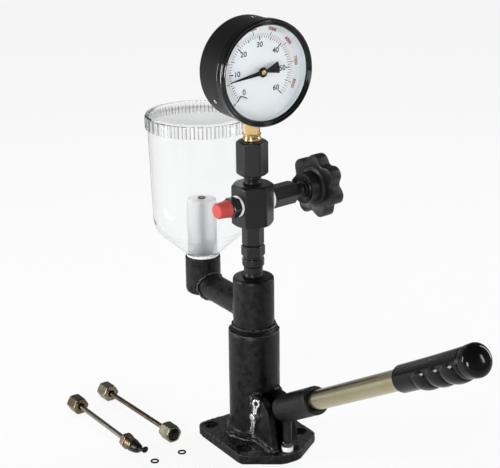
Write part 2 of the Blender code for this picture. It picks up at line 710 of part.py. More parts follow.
LID_SKIRT = 0.0120
LID_TOP = TANK_TOP + LID_RISE
LID_SKIRT_BOTTOM = TANK_TOP - LID_SKIRT
LID_RIBS = 42
LID_RIB_HEIGHT = 0.0014
FILTER_RADIUS = 0.0158
FILTER_RISE = 0.0643
FILTER_TOP = CUP_TOP + FILTER_RISE
FILTER_WALL = 0.0025
STANDPIPE_RADIUS = 0.0046


def build_arm(finish):
    """Inlet arm from the column to the cup, with its weld beads."""
    column_end = UPPER_RADIUS + WELD_LENGTH
    cup_start = TANK_PLACE.y - CUP_RADIUS
    weld = ARM_RADIUS + ARM_WELD
    arm = [(weld, UPPER_RADIUS / 2), (weld, column_end), (ARM_RADIUS, column_end + ARM_WELD),
           (ARM_RADIUS, cup_start - WELD_LENGTH), (weld, cup_start - WELD_LENGTH + ARM_WELD),
           (weld, TANK_PLACE.y - CUP_RADIUS / 2), (INLET_RADIUS, TANK_PLACE.y - CUP_RADIUS / 2),
           (INLET_RADIUS, UPPER_RADIUS / 2)]
    inlet_arm = add_object("inlet_arm", turned(arm, MEDIUM, closed=True), finish, INLET_PLACE)
    above = SHOULDER_HEIGHT + 2 * ARM_RADIUS
    step = SHOULDER_HEIGHT + SHOULDER_CLEAR
    column = [(COLUMN_RADIUS + GAP, 0.0), (COLUMN_RADIUS + GAP, step),
              (UPPER_RADIUS + GAP, step), (UPPER_RADIUS + GAP, ARM_HEIGHT + above)]
    cut(inlet_arm, turned(column, LARGE))
    cut(inlet_arm, cylinder(CUP_RADIUS + GAP, 0.0, ARM_HEIGHT + above, LARGE), TANK_FRAME)
    finish_shading(inlet_arm)


def build_cup(finishes):
    """Elbow cup under the tank and its light gasket."""
    edge = 0.001
    floor = ARM_HEIGHT - INLET_RADIUS
    seat = SPIGOT_BOTTOM - GAP
    cup = [(0.0, CUP_BOTTOM)]
    cup += arc(CUP_RADIUS - CUP_CORNER, CUP_BOTTOM + CUP_CORNER, CUP_CORNER, 270, 360, 3)
    cup += [(CUP_RADIUS, CUP_TOP - edge), (CUP_RADIUS - edge, CUP_TOP), (CUP_BORE_RADIUS, CUP_TOP),
            (CUP_BORE_RADIUS, seat), (INLET_RADIUS, seat), (INLET_RADIUS, floor), (0.0, floor)]
    elbow = add_object("elbow_cup", turned(cup, MEDIUM), finishes["cast black"], TANK_FRAME)
    place = frame(TANK_PLACE + Vector((0.0, 0.0, ARM_HEIGHT)), (0.0, -1.0, 0.0), ACROSS)
    cut(elbow, cylinder(INLET_RADIUS, 0.0, CUP_RADIUS + OVERRUN, SMALL), place)
    finish_shading(elbow)

    low = CUP_TOP + GAP
    high = low + GASKET_THICKNESS
    gasket = [(TANK_NECK_RADIUS, low), (TANK_NECK_RADIUS, high), (CUP_BORE_RADIUS, high),
              (CUP_BORE_RADIUS, low)]
    finish_shading(add_object("tank_gasket", turned(gasket, LARGE, closed=True),
                              finishes["white nylon"], TANK_FRAME))


def build_tank(finishes):
    """Clear tank with a conical bottom, its ribbed lid and the filter that stands in it."""
    clear = finishes["clear plastic"]
    seat = CUP_TOP + GASKET_THICKNESS + 2 * GAP
    floor = seat + TANK_WALL
    spigot = CUP_BORE_RADIUS - GAP
    inside_low = TANK_LOW_RADIUS - TANK_WALL
    inside_top = TANK_TOP_RADIUS - TANK_WALL
    lift = TANK_WALL / math.sqrt(2)
    bulge_out = 0.0042
    bulge_up = 0.0052
    tuck_in = 0.0010
    tuck_down = 0.0060
    tank = [(TANK_OUTLET_RADIUS, SPIGOT_BOTTOM), (spigot, SPIGOT_BOTTOM), (spigot, seat),
            (TANK_NECK_RADIUS, seat), (CONE_TOP_RADIUS, CONE_TOP),
            (CONE_TOP_RADIUS + bulge_out, CONE_TOP + bulge_up),
            (TANK_LOW_RADIUS - tuck_in, TANK_LOW - tuck_down), (TANK_LOW_RADIUS, TANK_LOW),
            (TANK_TOP_RADIUS, LID_SKIRT_BOTTOM), (TANK_TOP_RADIUS, TANK_TOP),
            (inside_top, TANK_TOP), (inside_top, LID_SKIRT_BOTTOM), (inside_low, TANK_LOW),
            (inside_low - tuck_in, TANK_LOW - tuck_down + tuck_in),
            (CONE_TOP_RADIUS + bulge_out - TANK_WALL, CONE_TOP + bulge_up + tuck_in),
            (CONE_TOP_RADIUS - lift, CONE_TOP + lift),
            (TANK_NECK_RADIUS - GAP, floor), (TANK_OUTLET_RADIUS, floor)]
    finish_shading(add_object("fuel_tank", turned(tank, LARGE, closed=True), clear, TANK_FRAME))
    build_lid(clear)

    stand = floor + GAP
    bore = FILTER_RADIUS - FILTER_WALL
    corner = 0.003
    screw_hole = 0.0021
    cap_low = FILTER_TOP - FILTER_WALL
    filter_profile = [(FILTER_RADIUS, stand)]
    filter_profile += arc(FILTER_RADIUS - corner, FILTER_TOP - corner, corner, 0, 90, 3)
    filter_profile += [(screw_hole, FILTER_TOP), (screw_hole, cap_low), (bore, cap_low),
                       (bore, stand)]
    finish_shading(add_object("fuel_filter", turned(filter_profile, MEDIUM, closed=True),
                              finishes["frosted plastic"], TANK_FRAME))
    thread = screw_hole - GAP
    pipe_top = cap_low - GAP
    pipe = [(STANDPIPE_RADIUS, stand), (STANDPIPE_RADIUS, pipe_top), (screw_hole, pipe_top),
            (screw_hole, stand)]
    finish_shading(add_object("filter_standpipe", turned(pipe, SMALL, closed=True),
                              finishes["grey plastic"], TANK_FRAME))
    head = 2 * screw_hole
    head_high = FILTER_TOP + screw_hole
    shank_low = cap_low - 3 * head
    screw = [(0.0, shank_low), (thread, shank_low), (thread, FILTER_TOP + GAP),
             (head, FILTER_TOP + GAP), (head, head_high - GAP), (head / 2, head_high),
             (0.0, head_high)]
    finish_shading(add_object("filter_screw", turned(screw, SMALL), finishes["brown steel"],
                              TANK_FRAME))


def build_lid(finish):
    """Clear lid whose skirt has upright ribs all round."""
    count = 2 * LID_RIBS
    root = LID_RADIUS - LID_RIB_HEIGHT
    inside = TANK_TOP_RADIUS + 2 * GAP
    top_edge = 0.0012
    plate_low = TANK_TOP + GAP

    def ribbed(height, taper):
        points = []
        for i in range(count):
            angle = math.tau * i / count
            radius = (root if i % 2 == 0 else LID_RADIUS) - taper
            points.append(Vector((radius * math.cos(angle), radius * math.sin(angle), height)))
        return points

    rings = [circle(inside, LID_SKIRT_BOTTOM, count), ribbed(LID_SKIRT_BOTTOM, 0.0),
             ribbed(LID_TOP - top_edge, 0.0), circle(root - top_edge, LID_TOP, count),
             circle(0.0, LID_TOP, count)]
    under = [circle(inside, plate_low, count), circle(0.0, plate_low, count)]
    lid = add_object("tank_lid", skin(under[::-1] + rings), finish, TANK_FRAME)
    finish_shading(lid)


# Valve with its hand wheel, and the outlet on the other side
WASHER_THICKNESS = 0.0018
BONNET_WASHER_RADIUS = 0.0122
BONNET_FLATS = 0.0215
BONNET_HEX_END = 0.054
BONNET_NECK_RADIUS = 0.0078
BONNET_NECK_LENGTH = 0.0120
BONNET_END = BONNET_HEX_END + BONNET_NECK_LENGTH
SPINDLE_RADIUS = 0.0040
SPINDLE_START = 0.0065
WHEEL_RADIUS = 0.0337
HUB_RADIUS = 0.0163
HUB_CLEAR = 0.0017
HUB_LENGTH = 0.0143
WHEEL_THICKNESS = 0.0141
HUB_START = BONNET_END + HUB_CLEAR
WHEEL_NEAR = HUB_START + HUB_LENGTH
WHEEL_FAR = WHEEL_NEAR + WHEEL_THICKNESS
WHEEL_LOBES = 7
WHEEL_LOBE_DEPTH = 0.0065
WHEEL_LOBE_POWER = 1.6
WHEEL_PHASE = math.radians(2.5)
OUTLET_WASHER_RADIUS = 0.0108
OUTLET_FLATS = 0.0190
OUTLET_HEX_LENGTH = 0.0100
OUTLET_TIP_RADIUS = 0.0058
CAP_RADIUS = 0.0092
CAP_END_RADIUS = 0.0076
CAP_LENGTH = 0.0152
CAP_WALL = 0.0022


def build_valve(finishes):
    """Washer, bonnet and spindle of the shut-off valve."""
    face = BLOCK_FLATS / 2
    washer_low = face + GAP
    washer_high = washer_low + WASHER_THICKNESS
    bore = BLOCK_PORT_RADIUS + GAP
    washer = [(BONNET_WASHER_RADIUS, washer_low), (BONNET_WASHER_RADIUS, washer_high),
              (bore, washer_high), (bore, washer_low)]
    finish_shading(add_object("bonnet_washer", turned(washer, MEDIUM, closed=True),
                              finishes["white nylon"], VALVE_PLACE))
    hex_low = washer_high + GAP
    groove = 0.0012
    spigot_low = face / 2
    inner = SPINDLE_RADIUS + GAP
    corner = math.pi / 6
    rings = circles([(inner, spigot_low), (BLOCK_PORT_RADIUS, spigot_low),
                     (BLOCK_PORT_RADIUS, hex_low)], HEXAGON_STEPS, corner)
    rings += hexagon_rings(BONNET_FLATS, hex_low, BONNET_HEX_END)
    rings += circles([(BONNET_NECK_RADIUS - groove, BONNET_HEX_END + groove / 2),
                      (BONNET_NECK_RADIUS - groove, BONNET_HEX_END + 2 * groove),
                      (BONNET_NECK_RADIUS, BONNET_HEX_END + 3 * groove),
                      (BONNET_NECK_RADIUS, BONNET_END - groove),
                      (BONNET_NECK_RADIUS - groove, BONNET_END),
                      (inner, BONNET_END)], HEXAGON_STEPS, corner)
    finish_shading(add_object("valve_bonnet", skin(rings, closed=True),
                              finishes["black steel"], VALVE_PLACE))
    spindle_end = WHEEL_FAR - WASHER_THICKNESS
    spindle = [(0.0, SPINDLE_START + GAP), (PASSAGE_RADIUS / 2, SPINDLE_START + GAP),
               (PASSAGE_RADIUS / 2, spigot_low - GAP),
               (SPINDLE_RADIUS, spigot_low + SPINDLE_RADIUS),
               (SPINDLE_RADIUS, spindle_end), (0.0, spindle_end)]
    finish_shading(add_object("valve_spindle", turned(spindle, SMALL),
                              finishes["bright steel"], VALVE_PLACE))
    build_wheel(finishes["black plastic"])


def build_wheel(finish):
    """Star wheel with deep rounded lobes and a hub that is hollow round the bonnet's neck."""
    points_per_lobe = 5
    count = WHEEL_LOBES * points_per_lobe
    edge = 0.0022
    inner = SPINDLE_RADIUS + GAP
    recess = BONNET_NECK_RADIUS + 4 * GAP
    recess_end = BONNET_END + 2 * GAP
    hub_edge = 0.0015

    def star(height, inset):
        points = []
        for i in range(count):
            angle = math.tau * i / count
            wave = (1 + math.cos(WHEEL_LOBES * (angle - WHEEL_PHASE))) / 2
            radius = WHEEL_RADIUS - WHEEL_LOBE_DEPTH * (1 - wave) ** WHEEL_LOBE_POWER - inset
            points.append(Vector((radius * math.cos(angle), radius * math.sin(angle), height)))
        return points

    rings = circles([(inner, recess_end), (recess, recess_end), (recess, HUB_START),
                     (HUB_RADIUS - hub_edge, HUB_START),
                     (HUB_RADIUS, HUB_START + hub_edge), (HUB_RADIUS, WHEEL_NEAR)], count)
    rings += [star(WHEEL_NEAR, edge), star(WHEEL_NEAR + edge, 0.0), star(WHEEL_FAR - edge, 0.0),
              star(WHEEL_FAR, edge)]
    rings += circles([(inner, WHEEL_FAR)], count)
    finish_shading(add_object("hand_wheel", skin(rings, closed=True), finish, VALVE_PLACE))


def build_outlet(finishes):
    """Outlet fitting with its washer and the red cap that keeps it clean."""
    face = BLOCK_FLATS / 2
    washer_low = face + GAP
    washer_high = washer_low + WASHER_THICKNESS
    bore = BLOCK_PORT_RADIUS + GAP
    washer = [(OUTLET_WASHER_RADIUS, washer_low), (OUTLET_WASHER_RADIUS, washer_high),
              (bore, washer_high), (bore, washer_low)]
    finish_shading(add_object("outlet_washer", turned(washer, MEDIUM, closed=True),
                              finishes["white nylon"], OUTLET_PLACE))
    hex_low = washer_high + GAP
    hex_high = hex_low + OUTLET_HEX_LENGTH
    tip_end = hex_high + CAP_LENGTH - 2 * CAP_WALL
    edge = 0.001
    spigot_low = face / 2
    corner = math.pi / 6
    rings = circles([(PASSAGE_RADIUS, spigot_low), (BLOCK_PORT_RADIUS, spigot_low),
                     (BLOCK_PORT_RADIUS, hex_low)], HEXAGON_STEPS, corner)
    rings += hexagon_rings(OUTLET_FLATS, hex_low, hex_high)
    rings += circles([(OUTLET_TIP_RADIUS, hex_high + GAP), (OUTLET_TIP_RADIUS, tip_end - edge),
                      (OUTLET_TIP_RADIUS - edge, tip_end), (PASSAGE_RADIUS, tip_end)],
                     HEXAGON_STEPS, corner)
    finish_shading(add_object("outlet_fitting", skin(rings, closed=True),
                              finishes["black steel"], OUTLET_PLACE))
    cap_low = hex_high + 2 * GAP
    cap_high = cap_low + CAP_LENGTH
    inside = OUTLET_TIP_RADIUS + GAP
    inside_high = tip_end + GAP
    cap = [(inside, cap_low), (CAP_RADIUS, cap_low), (CAP_RADIUS, cap_low + 2 * edge),
           (CAP_END_RADIUS + edge / 2, cap_high - 2 * edge), (CAP_END_RADIUS - edge, cap_high),
           (0.0, cap_high + edge / 2)]
    profile = [(0.0, inside_high), (inside, inside_high)] + cap
    finish_shading(add_object("outlet_cap", turned(profile, MEDIUM), finishes["red plastic"],
                              OUTLET_PLACE))


# Gauge
SOCKET_RADIUS = 0.0092
SOCKET_FLATS = 0.0165
RING_WALL = 0.0017
CASE_RADIUS = GAUGE_RADIUS - RING_WALL
CASE_BACK = -0.0152
CASE_FRONT = 0.0240
CASE_WALL = 0.0015
CASE_CORNER = 0.004
RING_LIP = 0.0064
RING_OVERLAP = 0.0035
RING_ROUND = 0.0028
RING_BACK = CASE_FRONT - RING_OVERLAP
RING_OPENING = GAUGE_RADIUS - RING_LIP
LENS_CLEAR = 0.0005
LENS_THICKNESS = 0.0020
LENS_LOW = CASE_FRONT + LENS_CLEAR
RING_RISE = 0.0034
GAUGE_FRONT = LENS_LOW + LENS_THICKNESS + RING_RISE
DIAL_DEPTH = 0.0095
DIAL_PLACE = CASE_FRONT - DIAL_DEPTH
DIAL_THICKNESS = 0.0008
NEEDLE_RISE = 0.0062
NEEDLE_PLACE = DIAL_PLACE + NEEDLE_RISE
NEEDLE_THICKNESS = 0.0008
NEEDLE_REACH_SHARE = 0.7115
NEEDLE_REACH = NEEDLE_REACH_SHARE * GAUGE_RADIUS
NEEDLE_TAIL = 0.0192
SCALE_START = math.radians(225)
SCALE_SWEEP = math.radians(270)
READING_SHARE = 8 / 60
CASE_SCREWS = 3
SCREW_PLACE = 0.0050
ARBOR_RADIUS = 0.0012
WORKS_DEPTH = 0.0035
WORKS_FRONT = DIAL_PLACE - WORKS_DEPTH
WORKS_BACK = 0.0010
ARBOR_LOW = (WORKS_BACK + WORKS_FRONT) / 2
WORKS_HALF_WIDTH = 0.0120
WORKS_TOP = 0.0120
SOCKET_NECK_LENGTH = 0.0075
SOCKET_BLOCK_DROP = 0.0299
SOCKET_BLOCK_TOP = DIAL_HEIGHT - SOCKET_BLOCK_DROP
SOCKET_BLOCK_HALF = 0.0080
BOURDON_SHARE = 0.7356
BOURDON_RADIUS = BOURDON_SHARE * CASE_RADIUS
BOURDON_TUBE_RADIUS = 0.0030
BOURDON_START = math.radians(-70)
BOURDON_SWEEP = math.radians(234)


def build_gauge(finishes):
    """Case, ring, window, dial and the works behind it."""
    black = finishes["black enamel"]
    inside = CASE_RADIUS - CASE_WALL
    case = [(0.0, CASE_BACK)]
    case += arc(CASE_RADIUS - CASE_CORNER, CASE_BACK + CASE_CORNER, CASE_CORNER, 270, 360, 2)
    case += [(CASE_RADIUS, CASE_FRONT), (inside, CASE_FRONT), (inside, CASE_BACK + CASE_CORNER),
             (CASE_RADIUS - CASE_CORNER, CASE_BACK + CASE_WALL), (0.0, CASE_BACK + CASE_WALL)]
    gauge_case = add_object("gauge_case", turned(case, LARGE), black, GAUGE_PLACE)
    wall_top = DIAL_HEIGHT - inside
    cut(gauge_case, cylinder(SOCKET_BLOCK_HALF + GAP, NUT_TOP, wall_top + OVERRUN, MEDIUM))
    screw_shank = 0.0011
    for i in range(CASE_SCREWS):
        turn = math.pi / 2 + math.tau * i / CASE_SCREWS
        out = Vector((math.cos(turn), 0.0, math.sin(turn)))
        place = frame(Vector((0.0, -SCREW_PLACE, DIAL_HEIGHT)), out, (0.0, 1.0, 0.0))
        cut(gauge_case, cylinder(screw_shank + GAP, inside - OVERRUN, CASE_RADIUS + OVERRUN, TINY),
            place)
        head = 2 * screw_shank
        head_low = CASE_RADIUS + GAP
        head_high = head_low + screw_shank
        shank_low = inside - screw_shank
        screw = [(0.0, shank_low), (screw_shank, shank_low), (screw_shank, head_low),
                 (head, head_low), (head, head_high - GAP), (head / 2, head_high),
                 (0.0, head_high)]
        finish_shading(add_object(f"case_screw_{i + 1}", turned(screw, TINY),
                                  finishes["bright steel"], place))
    finish_shading(gauge_case)

    lens_radius = CASE_RADIUS - 2 * GAP
    lens_high = LENS_LOW + LENS_THICKNESS
    lip = lens_high + GAP
    ring_inside = CASE_RADIUS + GAP
    ring = [(ring_inside, RING_BACK), (GAUGE_RADIUS, RING_BACK)]
    ring += arc(GAUGE_RADIUS - RING_ROUND, GAUGE_FRONT - RING_ROUND, RING_ROUND, 0, 90, 4)
    ring += [(RING_OPENING + RING_ROUND / 3, GAUGE_FRONT - RING_ROUND / 4),
             (RING_OPENING, lip + RING_ROUND / 4), (RING_OPENING, lip), (ring_inside, lip)]
    finish_shading(add_object("gauge_ring", turned(ring, LARGE, closed=True), black, GAUGE_PLACE))
    lens = cylinder(lens_radius, LENS_LOW, lens_high, LARGE)
    finish_shading(add_object("gauge_window", lens, finishes["glass"], GAUGE_PLACE))

    dial_radius = inside - GAP
    dial = add_object("gauge_dial", cylinder(dial_radius, DIAL_PLACE, DIAL_PLACE + DIAL_THICKNESS,
                                             LARGE), finishes["dial white"], GAUGE_PLACE)
    cut(dial, cylinder(ARBOR_RADIUS + GAP, DIAL_PLACE - OVERRUN, DIAL_PLACE + OVERRUN, TINY),
        GAUGE_PLACE)
    finish_shading(dial)
    build_needle(finishes)
    build_works(finishes)


def build_needle(finishes):
    """Needle with a fan tail on a hub whose arbor runs back into the works."""
    place = GAUGE_PLACE @ Matrix.Rotation(SCALE_START - SCALE_SWEEP * READING_SHARE, 4, "Z")
    hub = 0.0051
    tip = 0.00035
    root = 0.0016
    root_reach = 0.0048
    tail_half = math.radians(18)
    tail_root = 0.0013
    tail_reach = 0.0056
    outline = [(NEEDLE_REACH, -tip), (NEEDLE_REACH, tip), (root_reach, root)]
    outline += [(hub * math.cos(a), hub * math.sin(a))
                for a in (math.radians(d) for d in range(40, 161, 20))]
    outline += [(-tail_reach, tail_root)]
    outline += [(-NEEDLE_TAIL * math.cos(a), NEEDLE_TAIL * math.sin(a))
                for a in (tail_half, tail_half / 2, 0.0, -tail_half / 2, -tail_half)]
    outline += [(-tail_reach, -tail_root)]
    outline += [(hub * math.cos(a), hub * math.sin(a))
                for a in (math.radians(d) for d in range(200, 321, 20))]
    outline += [(root_reach, -root)]
    needle = add_object("gauge_needle", prism(outline, NEEDLE_PLACE,
                                              NEEDLE_PLACE + NEEDLE_THICKNESS),
                        finishes["needle black"], place)
    bore = ARBOR_RADIUS + GAP
    cut(needle, cylinder(bore, NEEDLE_PLACE - OVERRUN, NEEDLE_PLACE + OVERRUN, TINY), place)
    finish_shading(needle)
    cap_low = NEEDLE_PLACE + NEEDLE_THICKNESS + GAP
    cap_high = cap_low + ARBOR_RADIUS
    cap_radius = 2 * ARBOR_RADIUS
    hub_profile = [(0.0, ARBOR_LOW), (ARBOR_RADIUS, ARBOR_LOW),
                   (ARBOR_RADIUS, cap_low), (cap_radius, cap_low), (cap_radius, cap_high),
                   (ARBOR_RADIUS, cap_high + GAP), (0.0, cap_high + GAP)]
    finish_shading(add_object("needle_hub", turned(hub_profile, SMALL), finishes["brass"], place))


def build_works(finishes):
    """Brass socket that comes up through the case, the curved tube and the movement."""
    square = SOCKET_FLATS / 2
    neck_high = NUT_TOP + SOCKET_NECK_LENGTH
    case_low = DIAL_HEIGHT - CASE_RADIUS
    block_low = case_low + CASE_WALL + OVERRUN
    profile = [(0.0, NECK_TOP + OVERRUN), (SPIGOT_RADIUS, NECK_TOP + OVERRUN),
               (SPIGOT_RADIUS, NUT_TOP + GAP), (SOCKET_RADIUS, NUT_TOP + GAP),
               (SOCKET_RADIUS, neck_high), (SOCKET_BLOCK_HALF, neck_high),
               (SOCKET_BLOCK_HALF, block_low + OVERRUN), (0.0, block_low + OVERRUN)]
    socket = add_object("gauge_socket", turned(profile, MEDIUM), finishes["brass"])
    flats = box((-square, square), (-square, square), (neck_high - OVERRUN, case_low - GAP))
    fuse(socket, flats, Matrix.Rotation(CAMERA_SIDE, 4, "Z"))
    block = box((-SOCKET_BLOCK_HALF, SOCKET_BLOCK_HALF), (-SOCKET_BLOCK_HALF, SOCKET_BLOCK_HALF),
                (block_low, SOCKET_BLOCK_TOP))
    fuse(socket, block)
    cut(socket, cylinder(PASSAGE_RADIUS, NECK_TOP, SOCKET_BLOCK_TOP - SOCKET_BLOCK_HALF, TINY))
    finish_shading(socket)

    works_low = SOCKET_BLOCK_TOP - DIAL_HEIGHT + GAP
    works = add_object("gauge_movement", box((-WORKS_HALF_WIDTH, WORKS_HALF_WIDTH),
                                             (works_low, WORKS_TOP),
                                             (WORKS_BACK, WORKS_FRONT)),
                       finishes["brass"], GAUGE_PLACE)
    cut(works, cylinder(ARBOR_RADIUS + GAP, ARBOR_LOW - GAP, WORKS_FRONT + OVERRUN, TINY),
        GAUGE_PLACE)
    start = BOURDON_RADIUS * math.sin(BOURDON_START)
    points = [Vector((SOCKET_BLOCK_HALF + GAP, start, 0.0)),
              Vector((SOCKET_BLOCK_HALF + OVERRUN, start, 0.0))]
    steps = 18
    for i in range(steps + 1):
        angle = BOURDON_START + BOURDON_SWEEP * i / steps
        points.append(Vector((BOURDON_RADIUS * math.cos(angle), BOURDON_RADIUS * math.sin(angle),
                              0.0)))
    tube = tube_along(points, BOURDON_TUBE_RADIUS, 8)
    finish_shading(add_object("bourdon_tube", tube, finishes["brass"], GAUGE_PLACE))


# Injector pipes and O-rings on the floor
PIPE_NUT_FLATS = 0.0170
PIPE_NUT_LENGTH = 0.0165
PIPE_RADIUS = 0.0027
PIPE_HEAD_RADIUS = 0.0050
PIPE_HEAD_LENGTH = 0.0045
NUT_NECK_LENGTH = 0.0040
PLUG_GRIP_LENGTH = 0.0032
NUT_BORE_RADIUS = 0.0062
PIPE_1_START = Vector((-0.0867, 0.1731, 0.0))
PIPE_1_END = Vector((-0.0785, 0.0456, 0.0))
PIPE_2_START = Vector((-0.1297, 0.1621, 0.0))
PIPE_2_END = Vector((-0.1262, 0.0560, 0.0))
ADAPTER_HEX_LENGTH = 0.0070
ADAPTER_THREAD_LENGTH = 0.0105
ADAPTER_FLATS = 0.0150
ADAPTER_THREAD_RADIUS = 0.0070
RUBBER_CAP_LENGTH = 0.0230
RUBBER_CAP_INSET = 0.0008
RUBBER_CAP_RISE = 0.0055
RUBBER_FLANGE_RADIUS = 0.0036
RUBBER_STEM_RADIUS = 0.0021
O_RING_RADIUS = 0.0036
O_RING_WIRE = 0.0009
O_RING_PLACES = (Vector((-0.0840, 0.0113, 0.0)), Vector((-0.1171, 0.0100, 0.0)))


def floor_frame(start, end):
    """Give the placement of a pipe that lies on its nuts' flats, from one nut to the other."""
    lift = Vector((0.0, 0.0, PIPE_NUT_FLATS / 2))
    return frame(start + lift, end - start, (0.0, 0.0, 1.0))


def union_nut(name, finish, place, middle, mouth):
    """Make a union nut round a pipe's head; mouth is the side along Z that stays open."""
    half = PIPE_NUT_LENGTH / 2
    neck = PIPE_RADIUS + 4 * GAP
    seat = half - NUT_NECK_LENGTH
    steps = PLAIN_HEXAGON_STEPS
    rings = hexagon_rings(PIPE_NUT_FLATS, -half, half, 0.0, steps)
    inner = circles([(NUT_BORE_RADIUS, half), (NUT_BORE_RADIUS, -seat), (neck, -seat),
                     (neck, -half)], steps, math.pi / 6)
    shift = Matrix.Translation((0.0, 0.0, middle))
    flip = UPRIGHT if mouth > 0 else Matrix.Rotation(math.pi, 4, "X")
    nut = add_object(name, skin(rings + inner, closed=True), finish, place @ shift @ flip)
    finish_shading(nut)


def pipe_head(middle, mouth):
    """Give the profile points of the upset head inside a nut, from the pipe outwards."""
    seat = PIPE_NUT_LENGTH / 2 - NUT_NECK_LENGTH
    back = middle - mouth * (seat - GAP)
    front = back + mouth * PIPE_HEAD_LENGTH
    nose = front + mouth * PIPE_HEAD_LENGTH / 2
    return [(PIPE_RADIUS, back), (PIPE_HEAD_RADIUS, back), (PIPE_HEAD_RADIUS, front),
            (PIPE_RADIUS, nose)]


def build_pipes(finishes):
    """Two injector pipes with their nuts, plugs and the adapter with its rubber cap."""
    bore = PASSAGE_RADIUS / 2
    rubber = finishes["black rubber"]
    place = floor_frame(PIPE_1_START, PIPE_1_END)
    length = (PIPE_1_END - PIPE_1_START).length
    start_head = pipe_head(0.0, -1)[::-1]
    end_head = pipe_head(length, 1)
    tube = start_head + end_head
    tube += [(bore, end_head[-1][1]), (bore, start_head[0][1])]
    finish_shading(add_object("pipe_1", turned(tube, TINY, closed=True), finishes["zinc brown"],
                              place))
    union_nut("pipe_1_nut_a", finishes["zinc"], place, 0.0, -1)
    union_nut("pipe_1_nut_b", finishes["zinc"], place, length, 1)
    build_plug("pipe_1_plug", rubber, place, length, 1)

    place = floor_frame(PIPE_2_START, PIPE_2_END)
    length = (PIPE_2_END - PIPE_2_START).length
    start_head = pipe_head(0.0, -1)[::-1]
    tube = start_head + [(PIPE_RADIUS, length - GAP), (bore, length - GAP),
                         (bore, start_head[0][1])]
    finish_shading(add_object("pipe_2", turned(tube, TINY, closed=True), finishes["zinc"], place))
    union_nut("pipe_2_nut", finishes["zinc brown"], place, 0.0, -1)
    build_plug("pipe_2_plug", rubber, place, 0.0, -1)
    build_adapter(finishes, place, length)


def build_plug(name, finish, place, middle, mouth):
    """Rubber plug in a nut's mouth, with a short grip that stands out."""
    head_end = NUT_NECK_LENGTH + PIPE_HEAD_LENGTH + PIPE_HEAD_LENGTH / 2
    nose = middle + mouth * (head_end + 2 * GAP - PIPE_NUT_LENGTH / 2)
    rim = middle + mouth * (PIPE_NUT_LENGTH / 2 - GAP)
    end = rim + mouth * PLUG_GRIP_LENGTH
    body = NUT_BORE_RADIUS - GAP
    profile = [(0.0, nose), (body, nose), (body, rim), (body / 2, rim + mouth * GAP),
               (body / 2, end), (0.0, end)]
    finish_shading(add_object(name, turned(profile, SMALL), finish, place))


def build_adapter(finishes, place, start):
    """Threaded adapter on the second pipe and the rubber cap on its end, bent upwards."""
    hex_high = start + ADAPTER_HEX_LENGTH
    thread_high = hex_high + ADAPTER_THREAD_LENGTH
    bore = PASSAGE_RADIUS
    steps = PLAIN_HEXAGON_STEPS
    rings = hexagon_rings(ADAPTER_FLATS, start, hex_high, 0.0, steps)
    rings += circles([(ADAPTER_THREAD_RADIUS, hex_high + GAP), (ADAPTER_THREAD_RADIUS, thread_high),
                      (bore, thread_high), (bore, start)], steps, math.pi / 6)
    finish_shading(add_object("pipe_2_adapter", skin(rings, closed=True),
                              finishes["zinc brown"], place))
    low = thread_high + GAP
    cone_shares = ((0.0, 1.0), (0.15, 0.98), (0.30, 0.84), (0.45, 0.58), (0.60, 0.0))
    flange_shares = ((0.84, 0.0), (0.92, 0.55), (1.0, 1.0))
    stem = RUBBER_STEM_RADIUS
    profile = [(0.0, low)]
    for widest, shares in ((ADAPTER_THREAD_RADIUS - RUBBER_CAP_INSET, cone_shares),
                           (RUBBER_FLANGE_RADIUS, flange_shares)):
        for along, out in shares:
            profile.append((stem + (widest - stem) * out, low + RUBBER_CAP_LENGTH * along))
    profile.append((0.0, low + RUBBER_CAP_LENGTH))
    rings = []
    for ring in circles(profile, SMALL):
        share = (ring[0].z - low) / RUBBER_CAP_LENGTH
        rise = Vector((RUBBER_CAP_RISE * share ** 2, 0.0, 0.0))
        rings.append([point + rise for point in ring])
    finish_shading(add_object("pipe_2_cap", skin(rings), finishes["black rubber"], place))


def build_o_rings(finish):
    """Two loose sealing rings."""
    sides = 6
    for i, spot in enumerate(O_RING_PLACES):
        profile = [(O_RING_RADIUS + O_RING_WIRE * math.cos(math.tau * (k + 0.5) / sides),
                    O_RING_WIRE * math.sin(math.tau * (k + 0.5) / sides)) for k in range(sides)]
        lift = O_RING_WIRE * math.cos(math.pi / sides)
        place = Matrix.Translation(spot + Vector((0.0, 0.0, lift)))
        finish_shading(add_object(f"o_ring_{i + 1}", turned(profile, SMALL, closed=True), finish,
                                  place))


